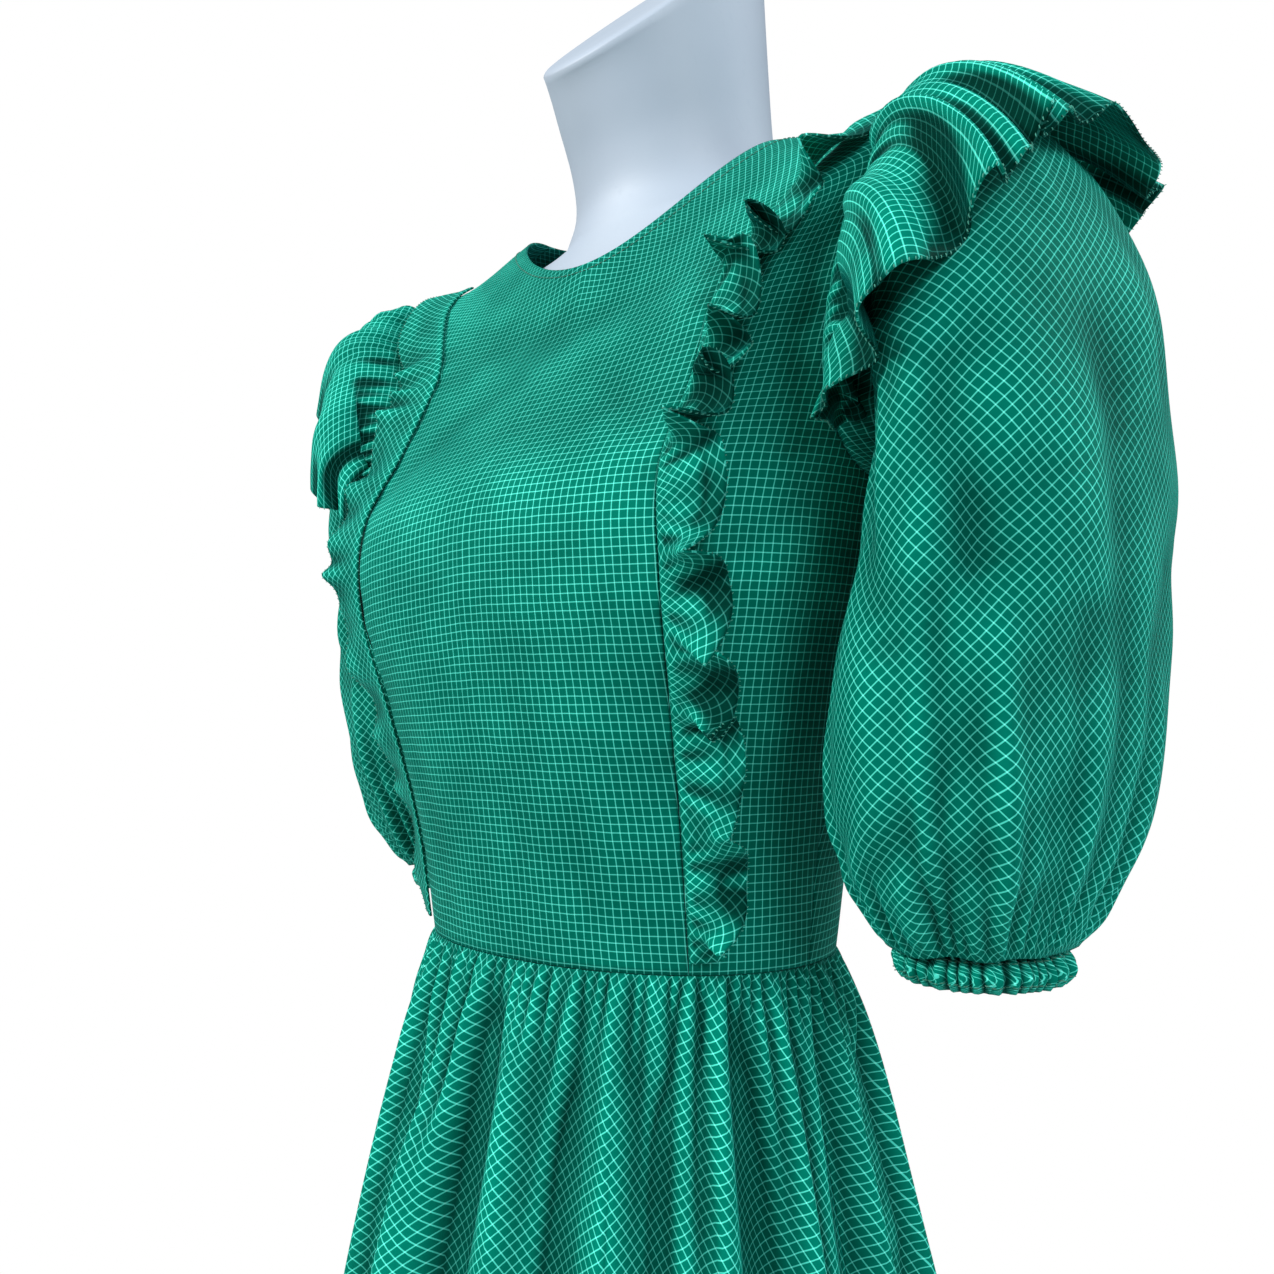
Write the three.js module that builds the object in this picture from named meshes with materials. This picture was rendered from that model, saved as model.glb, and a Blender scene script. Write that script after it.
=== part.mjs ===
// Prairie dress in check cotton on a limbless dress form. Millimetres, +Z up, the front faces -Y and the
// wearer's left is +X. The origin is on the floor under the pole.
import * as THREE from "three";

// Cloth and seams
const CLOTH = 1.5;
const RUFFLE = 1.2;
const GAP = 0.3;
const DEG = Math.PI / 180;

// Heights above the floor
const WAIST = 1050;
const SKIRT_DROP = 740;

// Stand
const POLE_R = 12.5;
const BASE_R = 190;
const BASE_H = 12;
const SOCKET_R = 24;
const SOCKET_H = 46;
const FORM_BOTTOM = -120;
const FORM_EASE = 4.5;

// Torso rings of the bodice's inner face, heights from the waist. zf, zs, zb: height at front, side, back.
// a: half width, bf and bb: depth to front and back, ys: how far back the side point lies, n: squareness.
const TORSO = [
  { zf: 0, zs: 0, zb: 0, a: 112, bf: 80, bb: 88, ys: 0, n: 2.1 },
  { zf: 58, zs: 58, zb: 58, a: 118, bf: 87, bb: 95, ys: 2, n: 2.25 },
  { zf: 116, zs: 116, zb: 116, a: 131, bf: 97, bb: 103, ys: 2, n: 2.5 },
  { zf: 172, zs: 170, zb: 172, a: 148, bf: 104, bb: 111, ys: 2, n: 2.9 },
  { zf: 214, zs: 214, zb: 225, a: 156, bf: 101, bb: 116, ys: 3, n: 2.8 },
  { zf: 252, zs: 268, zb: 285, a: 160, bf: 76, bb: 119, ys: 8, n: 2.5 },
  { zf: 285, zs: 325, zb: 340, a: 168, bf: 54, bb: 118, ys: 14, n: 2.3 },
  { zf: 309, zs: 372, zb: 385, a: 180, bf: 37, bb: 118, ys: 20, n: 2.1 },
  { zf: 330, zs: 389, zb: 411, a: 134, bf: 29, bb: 115, ys: 31, n: 2.0 },
  { zf: 349, zs: 403, zb: 424, a: 89, bf: 24, bb: 109, ys: 34, n: 2.0 },
];
const NECK_RING = 9;
const SHOULDER_RING = 7;
const UNDERARM_RING = 4;
const SEAM_END = 8;

// Rows of the bodice, in ring numbers: finer where the armhole turns
const ROWS = [0, 0.6, 1.3, 2, 2.6, 3.2, 3.7, 4, 4.12, 4.4, 4.8, 5.4, 6, 6.45, 6.8, 6.95, 7, 7.5, 7.9, 8, 8.5, 9];

// Armhole in ring numbers and degrees about the side
const ARMHOLE = { mid: 5.5, half: 1.5, front: 25, back: 27 };

// Princess seam: angle from the centre front at each ring number
const PRINCESS = [
  { ring: 0, angle: 50 },
  { ring: 1, angle: 47.5 },
  { ring: 2, angle: 43 },
  { ring: 3, angle: 36.5 },
  { ring: 4, angle: 34 },
  { ring: 5, angle: 34.5 },
  { ring: 6, angle: 33 },
  { ring: 6.7, angle: 35 },
  { ring: 7.2, angle: 43 },
  { ring: 7.6, angle: 60 },
  { ring: 8, angle: 88 },
];

// Sleeve sections: outer point, inner point, front and back reach
const SLEEVE = [
  { xo: 189, zo: 371, xi: 168, zi: 211, yf: -40, yb: 66 },
  { xo: 210, zo: 361, xi: 172, zi: 202, yf: -62, yb: 94 },
  { xo: 234, zo: 339, xi: 169, zi: 186, yf: -74, yb: 110 },
  { xo: 251, zo: 304, xi: 164, zi: 166, yf: -80, yb: 116 },
  { xo: 258, zo: 256, xi: 159, zi: 144, yf: -82, yb: 118 },
  { xo: 259, zo: 202, xi: 152, zi: 120, yf: -82, yb: 118 },
  { xo: 258, zo: 145, xi: 146, zi: 94, yf: -79, yb: 114 },
  { xo: 253, zo: 92, xi: 143, zi: 70, yf: -71, yb: 105 },
  { xo: 245, zo: 58, xi: 146, zi: 50, yf: -58, yb: 88 },
  { xo: 235, zo: 33, xi: 151, zi: 31, yf: -44, yb: 64 },
  { xo: 228, zo: 19, xi: 156, zi: 19, yf: -33, yb: 46 },
];
const SLEEVE_AROUND = 36;
const SLEEVE_AIR = 3.5;
const LIP = 2;
const CUFF_TOP = 18;
const CUFF_BOTTOM = 7;

// How far each sleeve hangs in and back from its sections, growing from the armhole down
const HANG = { left: { x: 0, y: 0 }, right: { x: -20, y: 34 } };

// Gathers: height of the small folds at each sleeve section, from the armhole to the cuff
const SLEEVE_FOLD = [0.4, 1.2, 2.8, 3, 2.4, 2, 2.2, 3.2, 4.4, 4.6, 3.2, 1.4];

// Ruffle in the princess seam: width at each place along its root, and its slope off the panel in degrees
const FRONT_RUFFLE = [
  { ring: 0.1, width: 8, lift: 35 },
  { ring: 0.6, width: 19, lift: 40 },
  { ring: 2, width: 26, lift: 45 },
  { ring: 3, width: 30, lift: 48 },
  { ring: 5, width: 33, lift: 50 },
  { ring: 7, width: 30, lift: 40 },
  { ring: 7.85, width: 25, lift: 26 },
];
const FRONT_WAVES = 11;
// How each of the two stands: share of the slope, and swing of its waves in degrees
const FRONT_STAND = { left: { lift: 0.75, swing: 48 }, right: { lift: 0.3, swing: 30 } };
// Ruffle over the sleeve's head, by the turn round the armhole: how many sleeve sections it reaches over, how
// far its edge stands off the sleeve, and the height of its waves
const HEAD_RUFFLE = [
  { turn: -125, reach: 1.8, lift: 4, wave: 7 },
  { turn: -90, reach: 3, lift: 8, wave: 10 },
  { turn: -50, reach: 3.5, lift: 9, wave: 10 },
  { turn: -15, reach: 3.6, lift: 8, wave: 10 },
  { turn: 20, reach: 3.5, lift: 4, wave: 10 },
  { turn: 60, reach: 3.9, lift: 3, wave: 14 },
  { turn: 95, reach: 3.5, lift: 2, wave: 15 },
  { turn: 118, reach: 2.8, lift: 3, wave: 11 },
  { turn: 132, reach: 1.9, lift: 4, wave: 7 },
];
const HEAD_WAVES = 9;
// Share of that lift and wave that each sleeve's ruffle has
const HEAD_STAND = { left: 1, right: 0.45 };

// Skirt outline by depth under the waist: half width, depth to front and back, height of large folds and of gathers
const SKIRT = [
  { drop: 0, a: 112, bf: 80, bb: 88, fold: 0, gather: 0.4 },
  { drop: 10, a: 114, bf: 84, bb: 91, fold: 1, gather: 2.4 },
  { drop: 35, a: 118, bf: 91, bb: 97, fold: 3, gather: 3 },
  { drop: 90, a: 128, bf: 104, bb: 108, fold: 6, gather: 1.8 },
  { drop: 180, a: 146, bf: 125, bb: 127, fold: 8, gather: 0.5 },
  { drop: 340, a: 177, bf: 157, bb: 157, fold: 11, gather: 0 },
  { drop: 540, a: 212, bf: 192, bb: 192, fold: 14, gather: 0 },
  { drop: SKIRT_DROP, a: 244, bf: 224, bb: 224, fold: 16, gather: 0 },
];
// Large folds round the skirt: where each crest hangs from the centre front, towards the wearer's left
const FOLDS = [10, 33, 55, 76, 98, 121, 143, 164, 193, 216, 238, 260, 282, 305, 327, 348];
const SKIRT_STEP = 4.5;
// Half of the plain stretch at the centre back, in degrees
const BACK_FLAT = 7;

// Back opening
const TAPE = { half: 10, thick: 0.8, top: 8.93, drop: 180 };
const SLIDER = { wide: 6, deep: 2.4, tall: 7 };
const PULL = { wide: 4.4, thick: 1.4, tall: 24, stand: 1.5 };

const PAINT = {
  cloth: { color: 0x1f5c45, roughness: 0.75, metalness: 0 },
  form: { color: 0xd9e2ea, roughness: 0.35, metalness: 0 },
  steel: { color: 0xb9bcc0, roughness: 0.3, metalness: 0.9 },
  zip: { color: 0x1b4a39, roughness: 0.45, metalness: 0.2 },
};

/** Smooth value of a table column at place q; the key column rises from row to row. */
function along(table, key, column, q) {
  const last = table.length - 1;
  let i = 0;
  while (i < last - 1 && q > table[i + 1][key]) i += 1;
  const x0 = table[i][key];
  const x1 = table[i + 1][key];
  const t = Math.min(1, Math.max(0, (q - x0) / (x1 - x0)));
  const y = (k) => table[Math.min(last, Math.max(0, k))][column];
  const x = (k) => table[Math.min(last, Math.max(0, k))][key];
  const slope = (k) => (x(k + 1) === x(k - 1) ? 0 : (y(k + 1) - y(k - 1)) / (x(k + 1) - x(k - 1)));
  const w = x1 - x0;
  const t2 = t * t;
  const t3 = t2 * t;
  return (2 * t3 - 3 * t2 + 1) * y(i) + (t3 - 2 * t2 + t) * w * slope(i)
    + (3 * t2 - 2 * t3) * y(i + 1) + (t3 - t2) * w * slope(i + 1);
}

const RINGED = TORSO.map((row, ring) => ({ ...row, ring }));

/** Point of the bodice's inner face: turn in degrees from the centre front, ring number. */
function torso(turn, ring) {
  const g = (column) => along(RINGED, "ring", column, ring);
  const t = turn * DEG;
  const c = Math.cos(t);
  const s = Math.sin(t);
  const e = 2 / g("n");
  const ys = g("ys");
  const reach = c > 0 ? -(g("bf") + ys) : g("bb") - ys;
  const end = c > 0 ? g("zf") : g("zb");
  const x = g("a") * Math.sign(s) * Math.abs(s) ** e;
  const y = ys + reach * Math.abs(c) ** e;
  const z = g("zs") + (end - g("zs")) * c * c;
  return new THREE.Vector3(x, y, WAIST + z);
}

/** Outward normal of the bodice face. */
function torsoNormal(turn, ring) {
  const d = 0.6;
  const r0 = Math.max(0, ring - 0.04);
  const r1 = Math.min(NECK_RING, ring + 0.04);
  const across = torso(turn + d, ring).sub(torso(turn - d, ring));
  const up = torso(turn, r1).sub(torso(turn, r0));
  return across.cross(up).normalize();
}

/** Point moved out from the bodice face. */
function offTorso(turn, ring, out) {
  return torso(turn, ring).addScaledVector(torsoNormal(turn, ring), out);
}

/** Closed body from two matching grids of points; ring grids close on themselves along the columns. */
function skin(inner, outer, closed) {
  const rows = inner.length;
  const cols = inner[0].length;
  const pos = [];
  const index = [];
  for (const grid of [inner, outer]) {
    for (const row of grid) for (const p of row) pos.push(p.x, p.y, p.z);
  }
  const at = (side, r, c) => side * rows * cols + r * cols + (c % cols);
  const quad = (a, b, c, d) => index.push(a, b, c, a, c, d);
  const spans = closed ? cols : cols - 1;
  for (let r = 0; r < rows - 1; r += 1) {
    for (let c = 0; c < spans; c += 1) {
      quad(at(1, r, c), at(1, r, c + 1), at(1, r + 1, c + 1), at(1, r + 1, c));
      quad(at(0, r, c), at(0, r + 1, c), at(0, r + 1, c + 1), at(0, r, c + 1));
    }
  }
  for (let c = 0; c < spans; c += 1) {
    quad(at(0, 0, c), at(0, 0, c + 1), at(1, 0, c + 1), at(1, 0, c));
    quad(at(1, rows - 1, c), at(1, rows - 1, c + 1), at(0, rows - 1, c + 1), at(0, rows - 1, c));
  }
  if (!closed) {
    for (let r = 0; r < rows - 1; r += 1) {
      quad(at(0, r, 0), at(1, r, 0), at(1, r + 1, 0), at(0, r + 1, 0));
      quad(at(1, r, cols - 1), at(0, r, cols - 1), at(0, r + 1, cols - 1), at(1, r + 1, cols - 1));
    }
  }
  const g = new THREE.BufferGeometry();
  g.setAttribute("position", new THREE.Float32BufferAttribute(pos, 3));
  g.setIndex(index);
  return facing(g);
}

/** Turns the faces outward where the signed volume came out negative. */
function facing(g) {
  const p = g.getAttribute("position");
  const ix = g.getIndex();
  const v = [0, 1, 2].map(() => new THREE.Vector3());
  let volume = 0;
  for (let i = 0; i < ix.count; i += 3) {
    v.forEach((q, k) => q.fromBufferAttribute(p, ix.getX(i + k)));
    volume += v[0].dot(v[1].clone().cross(v[2]));
  }
  if (volume < 0) {
    const a = ix.array;
    for (let i = 0; i < a.length; i += 3) [a[i], a[i + 1]] = [a[i + 1], a[i]];
  }
  g.computeVertexNormals();
  return g;
}

/** Wall of a given thickness about a grid of mid points, its sides found from the grid itself. */
function wall(grid, thick, closed) {
  const rows = grid.length;
  const cols = grid[0].length;
  const col = (c) => (closed ? (c + cols) % cols : Math.min(cols - 1, Math.max(0, c)));
  const row = (r) => Math.min(rows - 1, Math.max(0, r));
  const side = (sign) => grid.map((line, r) => line.map((p, c) => {
    const u = grid[r][col(c + 1)].clone().sub(grid[r][col(c - 1)]);
    const v = grid[row(r + 1)][c].clone().sub(grid[row(r - 1)][c]);
    return p.clone().addScaledVector(u.cross(v).normalize(), sign * thick / 2);
  }));
  return skin(side(-1), side(1), closed);
}

/** Angle of the princess seam at a ring number. */
function princess(ring) {
  return along(PRINCESS, "ring", "angle", ring);
}

/** Angle of the armhole's edge at a ring number: side is 1 at the front and -1 at the back. */
function armholeAngle(ring, side) {
  const t = (ring - ARMHOLE.mid) / ARMHOLE.half;
  if (Math.abs(t) >= 1) return 90;
  const span = side > 0 ? ARMHOLE.front : ARMHOLE.back;
  return 90 - side * span * Math.sqrt(1 - t * t);
}

/** Half of the seam gap as an angle, wider where the seam runs slantwise across the rings. */
function inset(edge, ring) {
  const d = 0.02;
  const turn = edge(ring);
  const across = torso(turn + 0.5, ring).sub(torso(turn - 0.5, ring));
  const run = torso(edge(ring + d), ring + d).sub(torso(edge(ring - d), ring - d)).normalize();
  const slant = Math.max(0.25, across.clone().normalize().cross(run).length());
  return (0.62 * GAP) / (across.length() * slant);
}

/** Bodice panel between two edges, from one ring to another, mirrored when side is -1. */
function panel(from, to, left, right, across, side) {
  const rows = ROWS.filter((r) => r >= from && r <= to);
  const grids = [0, CLOTH].map((out) => rows.map((ring) => {
    const at = ring === 0 ? 0.004 : ring;
    const a = left(at) + (left.open ? 0 : inset(left, at));
    const b = right(at) - (right.open ? 0 : inset(right, at));
    const line = [];
    for (let i = 0; i <= across; i += 1) {
      const p = offTorso(a + ((b - a) * i) / across, at, out);
      p.x *= side;
      line.push(p);
    }
    return line;
  }));
  return skin(grids[0], grids[1], false);
}

const seam = (ring) => (ring >= SEAM_END ? 90 : princess(ring));
const sideFront = (ring) => (ring < SHOULDER_RING ? armholeAngle(ring, 1) : 90);
const sideBack = (ring) => armholeAngle(ring, -1);

/** Centre front panel, whole: its outline is the same on both sides. */
function centreFront() {
  const left = (ring) => -seam(ring);
  return panel(0, NECK_RING, left, seam, 12, 1);
}

/** Side front panel. */
function sidePanel(side) {
  return panel(0, 7.9, seam, sideFront, 5, side);
}

/** Back panel from the side seam, armhole and shoulder seam to the centre back. */
function backPanel(side) {
  return panel(0, NECK_RING, sideBack, () => 180, 8, side);
}

/** Armhole point: turn 0 at the shoulder, 90 at the front, 180 under the arm. */
function armhole(turn, out, grow) {
  const t = turn * DEG;
  const span = Math.sin(t) > 0 ? ARMHOLE.front : ARMHOLE.back;
  const ring = ARMHOLE.mid + ARMHOLE.half * Math.cos(t);
  const angle = 90 - span * Math.sin(t);
  const p = offTorso(angle, ring, out);
  const mid = offTorso(90, ARMHOLE.mid, out);
  const n = torsoNormal(angle, ring);
  const away = p.clone().sub(mid);
  away.addScaledVector(n, -away.dot(n)).normalize();
  return p.addScaledVector(away, grow);
}

/** Small uneven folds: a number between -1 and 1 for place i of a ring. */
function pucker(i, seed) {
  const swing = i % 2 ? 1 : -1;
  return swing * (0.72 + 0.28 * Math.sin(i * 1.7 + seed)) + 0.25 * Math.sin(i * 0.61 + seed * 2);
}

/** Half width of the bodice at a point's height and depth, with the cloth and a little air. */
function beside(p) {
  const z = p.z - WAIST;
  if (z > 216) return 0;
  const ring = along(RINGED, "zs", "ring", Math.max(0, z));
  const g = (column) => along(RINGED, "ring", column, ring);
  const b = (p.y < 0 ? g("bf") : g("bb")) + CLOTH + SLEEVE_AIR;
  const q = Math.abs(p.y) / b;
  return q < 1 ? (g("a") + CLOTH + SLEEVE_AIR) * (1 - q ** g("n")) ** (1 / g("n")) : 0;
}

/** Mid point of the sleeve's wall: section from 0 at the armhole's lip, turn 0 outside, 90 front, 180 inside. */
function sleevePoint(k, turn, puck) {
  const t = turn * DEG;
  const lip = armhole(turn, CLOTH + GAP + 0.3 + (k < 0 ? 0 : LIP), CLOTH / 2);
  if (k <= 0) return lip;
  const g = (column) => along(SECTIONS, "k", column, k);
  const outer = new THREE.Vector3(g("xo"), 0, WAIST + g("zo"));
  const inner = new THREE.Vector3(g("xi"), 0, WAIST + g("zi"));
  const mid = outer.clone().add(inner).multiplyScalar(0.5);
  const half = outer.clone().sub(inner).multiplyScalar(0.5);
  const yMid = (g("yf") + g("yb")) / 2;
  const yHalf = (g("yb") - g("yf")) / 2;
  const c = Math.cos(t);
  const s = Math.sin(t);
  const p = mid.clone().addScaledVector(half, Math.sign(c) * Math.abs(c) ** 0.92);
  p.y = yMid - yHalf * Math.sign(s) * Math.abs(s) ** 0.92;
  const away = p.clone().sub(new THREE.Vector3(mid.x, yMid, mid.z)).normalize();
  p.addScaledVector(away, puck * along(FOLDING, "k", "h", k));
  return k < 1 ? lip.lerp(p, k) : p;
}

const SECTIONS = SLEEVE.map((row, i) => ({ ...row, k: i + 1 }));
const FOLDING = SLEEVE_FOLD.map((h, k) => ({ h, k }));

/** Moves a sleeve point with the way that the sleeve hangs, fully so from the fourth section on. */
function hung(p, side, k) {
  const hang = side > 0 ? HANG.left : HANG.right;
  const q = Math.min(1, Math.max(0, (k - 1) / 3));
  p.x += hang.x * q;
  p.y += hang.y * q;
  return p;
}

/** Puff sleeve: gathered round the armhole and into the casing. */
function sleeve(side) {
  const grid = [];
  const steps = [-1, 0, 1, 2, 3, 4, 5.5, 7, 8, 9, 10, 11];
  for (const k of steps) {
    const line = [];
    for (let i = 0; i < SLEEVE_AROUND; i += 1) {
      const turn = (360 * i) / SLEEVE_AROUND;
      const p = hung(sleevePoint(k, turn, pucker(i, side > 0 ? 0.4 : 2.1)), side, k);
      const need = beside(p);
      if (k >= 1 && p.x < need && Math.cos(turn * DEG) < 0.2) p.x = need;
      p.x *= side;
      line.push(p);
    }
    grid.push(line);
  }
  return wall(grid, CLOTH, true);
}

/** Gathered casing at the sleeve's lower edge. */
function cuff(side) {
  const last = SLEEVE[SLEEVE.length - 1];
  const cx = (last.xo + last.xi) / 2;
  const cy = (last.yf + last.yb) / 2;
  const levels = [CUFF_BOTTOM, (CUFF_TOP + CUFF_BOTTOM) / 2, CUFF_TOP - 0.6];
  const grid = levels.map((z, row) => {
    const line = [];
    for (let i = 0; i < SLEEVE_AROUND; i += 1) {
      const t = (2 * Math.PI * i) / SLEEVE_AROUND;
      const r = 1.1 * pucker(i, side > 0 ? 0.4 : 2.1) + (row === 1 ? 1.2 : 0);
      const x = cx + ((last.xo - last.xi) / 2 + r) * Math.cos(t);
      const y = cy - ((last.yb - last.yf) / 2 + r) * Math.sin(t);
      const p = hung(new THREE.Vector3(x, y, WAIST + z), side, SLEEVE.length);
      p.x *= side;
      line.push(p);
    }
    return line;
  });
  return wall(grid, CLOTH, true);
}

/** Wave of a ruffle, 0 to 1, uneven from one crest to the next. */
function ripple(q, waves, seed) {
  const p = q * waves + 0.22 * Math.sin(q * waves * 1.9 + seed);
  return 0.5 - 0.5 * Math.cos(2 * Math.PI * p) * (0.82 + 0.18 * Math.sin(q * 17 + seed));
}

/** Ruffle in the princess seam, standing off the side panel towards the armhole. */
function frontRuffle(side) {
  const first = FRONT_RUFFLE[0].ring;
  const last = FRONT_RUFFLE[FRONT_RUFFLE.length - 1].ring;
  const steps = 46;
  const across = [0, 0.45, 1];
  const grid = across.map(() => []);
  for (let i = 0; i <= steps; i += 1) {
    const q = i / steps;
    const ring = first + (last - first) * q;
    const turn = princess(ring);
    const d = 0.03;
    const run = torso(princess(ring + d), ring + d).sub(torso(princess(ring - d), ring - d)).normalize();
    const n = torsoNormal(turn, ring);
    const out = run.clone().cross(n).normalize();
    const root = offTorso(turn, ring, CLOTH + GAP + RUFFLE / 2 + 0.2).addScaledVector(out, 1);
    const width = along(FRONT_RUFFLE, "ring", "width", ring);
    const mean = along(FRONT_RUFFLE, "ring", "lift", ring);
    const w = ripple(q, FRONT_WAVES, side > 0 ? 0.5 : 2.6);
    const stand = side > 0 ? FRONT_STAND.left : FRONT_STAND.right;
    across.forEach((f, j) => {
      const rise = (mean * stand.lift + (w - 0.5) * stand.swing * Math.min(1, f * 1.4)) * DEG;
      const reach = f * width;
      const p = root.clone();
      p.addScaledVector(out, reach * Math.cos(rise));
      p.addScaledVector(n, reach * Math.sin(Math.max(0.12, rise)) + (f > 0 ? 0.6 : 0));
      p.addScaledVector(run, reach * 0.16 * Math.sin(2 * Math.PI * q * FRONT_WAVES + side));
      p.x *= side;
      grid[j].push(p);
    });
  }
  return wall(grid, RUFFLE, false);
}

/** Outward normal of the sleeve at a section and turn. */
function sleeveNormal(k, turn, side, axis) {
  const at = (dk, dt) => hung(sleevePoint(k + dk, turn + dt, 0), side, k + dk);
  const n = at(0.15, 0).sub(at(-0.15, 0)).cross(at(0, 3).sub(at(0, -3))).normalize();
  const p = at(0, 0).sub(axis);
  return n.dot(p) < 0 ? n.negate() : n;
}

/** Ruffle in the armhole seam, made from the sleeve's own points moved out. */
function headRuffle(side) {
  const first = HEAD_RUFFLE[0].turn;
  const last = HEAD_RUFFLE[HEAD_RUFFLE.length - 1].turn;
  const steps = 44;
  const across = [0, 0, 0.24, 0.56, 1];
  const grid = across.map(() => []);
  const axis = hung(new THREE.Vector3(196, 20, WAIST + 250), side, 2);
  const stand = side > 0 ? HEAD_STAND.left : HEAD_STAND.right;
  for (let i = 0; i <= steps; i += 1) {
    const q = i / steps;
    const turn = first + (last - first) * q;
    const g = (column) => along(HEAD_RUFFLE, "turn", column, turn);
    const w = ripple(q, HEAD_WAVES, side > 0 ? 1.3 : 3.1);
    across.forEach((f, j) => {
      if (j < 2) {
        grid[j].push(armhole(turn, CLOTH + GAP + 0.3 + j * 2.5, CLOTH + GAP + RUFFLE / 2 + 0.5 + j * 1.5));
        return;
      }
      const k = f * g("reach");
      const p = hung(sleevePoint(k, turn, 0), side, k);
      const away = p.clone().sub(axis);
      away.x *= Math.min(1, k / 3);
      away.normalize();
      const arch = Math.sin(Math.PI * Math.min(1, k / 3)) * 4;
      const clear = CLOTH / 2 + GAP + RUFFLE / 2 + 4.2 + 1.5 * along(FOLDING, "k", "h", k) * Math.min(1, k) + arch;
      p.addScaledVector(sleeveNormal(k, turn, side, axis), clear);
      grid[j].push(p.addScaledVector(away, f * f * stand * (g("lift") + g("wave") * w)));
    });
  }
  grid.forEach((line) => line.forEach((p) => { p.x *= side; }));
  return wall(grid, RUFFLE, false);
}

/** Height of the skirt's folds at a turn: crests at the FOLDS, valleys between them. */
function foldWave(turn) {
  const t = ((turn % 360) + 360) % 360;
  let i = FOLDS.findIndex((f) => f > t);
  if (i < 0) i = 0;
  const hi = FOLDS[i] + (FOLDS[i] <= t ? 360 : 0);
  const prev = FOLDS[(i + FOLDS.length - 1) % FOLDS.length];
  const lo = prev > t ? prev - 360 : prev;
  const q = (t - lo) / (hi - lo);
  return Math.cos(2 * Math.PI * q) * (0.8 + 0.2 * Math.sin(i * 2.3));
}

/** Point of the skirt's inner face. */
function skirt(turn, drop, out) {
  const g = (column) => along(SKIRT, "drop", column, drop);
  const back = Math.min(1, Math.max(0, Math.abs(turn - 180) - BACK_FLAT) / 10);
  const i = Math.round(turn / SKIRT_STEP);
  const fine = pucker(i, 0.9) * back;
  const r = g("fold") * foldWave(turn) * back + g("gather") * fine + out;
  const s = Math.sin(turn * DEG);
  const c = Math.cos(turn * DEG);
  const e = 2 / 2.1;
  const x = g("a") * Math.sign(s) * Math.abs(s) ** e + r * s;
  const y = -(c > 0 ? g("bf") : g("bb")) * Math.sign(c) * Math.abs(c) ** e - r * c;
  return new THREE.Vector3(x, y, WAIST - GAP - 0.1 - drop);
}

/** Skirt piece between two turns from the centre front. */
function skirtPiece(from, to) {
  const drops = SKIRT.map((row) => row.drop).reverse();
  const cut = (0.62 * GAP) / 100 / DEG;
  const count = Math.round((to - from) / SKIRT_STEP);
  const face = (out) => drops.map((drop) => {
    const line = [];
    for (let i = 0; i <= count; i += 1) {
      const whole = from + i * SKIRT_STEP;
      const turn = i === 0 ? whole + cut : i === count ? whole - cut : whole;
      line.push(skirt(turn, drop, out));
    }
    return line;
  });
  return skin(face(0), face(CLOTH), false);
}

/** Zip tape behind the centre back, the chain closed, from the neck into the skirt. */
function zipTape() {
  const lines = [];
  const over = [-1, -0.34, 0.34, 1];
  for (const drop of [TAPE.drop, 90, 35, 10, 1]) {
    lines.push(over.map((u) => {
      const p = skirt(180, drop, 0);
      return new THREE.Vector3(u * TAPE.half, p.y - 0.8 * Math.abs(u), p.z);
    }));
  }
  for (const ring of [0.05, 0.6, 1.3, 2, 3.2, 4.4, 5.4, 6.45, 7.5, 8.3, TAPE.top]) {
    lines.push(over.map((u) => {
      const flat = torso(180, ring);
      const turn = 180 - (u * TAPE.half) / (Math.abs(torso(178, ring).x) / 2);
      return new THREE.Vector3(u * TAPE.half, Math.min(flat.y, torso(turn, ring).y), flat.z);
    }));
  }
  const shift = (d) => lines.map((line) => line.map((p) => {
    const q = p.clone();
    q.y -= d;
    return q;
  }));
  const slope = 0.55;
  return skin(shift(GAP + slope + TAPE.thick), shift(GAP + slope), false);
}

/** Turns a shape built upright at the origin to lean by an angle about X, and moves it to its place. */
function leaning(g, lean, at) {
  g.rotateX(lean);
  g.translate(at.x, at.y, at.z);
  return g;
}

/** Slider of the zip, flat on the seam just under the neck edge. */
function zipSlider(at, lean) {
  return leaning(new THREE.BoxGeometry(SLIDER.wide, SLIDER.deep, SLIDER.tall, 1, 1, 1), lean, at);
}

/** Pull tab, hanging down from the slider's pin. */
function zipPull(at, lean) {
  const shape = new THREE.Shape();
  const half = PULL.wide / 2;
  shape.absarc(0, 0, half, 0, Math.PI, false);
  shape.lineTo(-half * 0.7, -PULL.tall);
  shape.lineTo(half * 0.7, -PULL.tall);
  shape.closePath();
  const g = new THREE.ExtrudeGeometry(shape, { depth: PULL.thick, bevelEnabled: false, curveSegments: 6 });
  g.translate(0, 0, -PULL.thick / 2);
  g.rotateX(Math.PI / 2);
  return leaning(g, lean, at);
}

// Neck of the form, its sections above the torso: middle and radii, leaning forward
const FORM_NECK = [
  { y: 48, z: 394, rx: 68, ry: 56, tilt: 16 },
  { y: 50, z: 412, rx: 60, ry: 54, tilt: 15 },
  { y: 46, z: 436, rx: 58, ry: 56, tilt: 17 },
  { y: 38, z: 474, rx: 60, ry: 59, tilt: 28 },
  { y: 30, z: 519, rx: 62, ry: 62, tilt: 44 },
];

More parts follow.
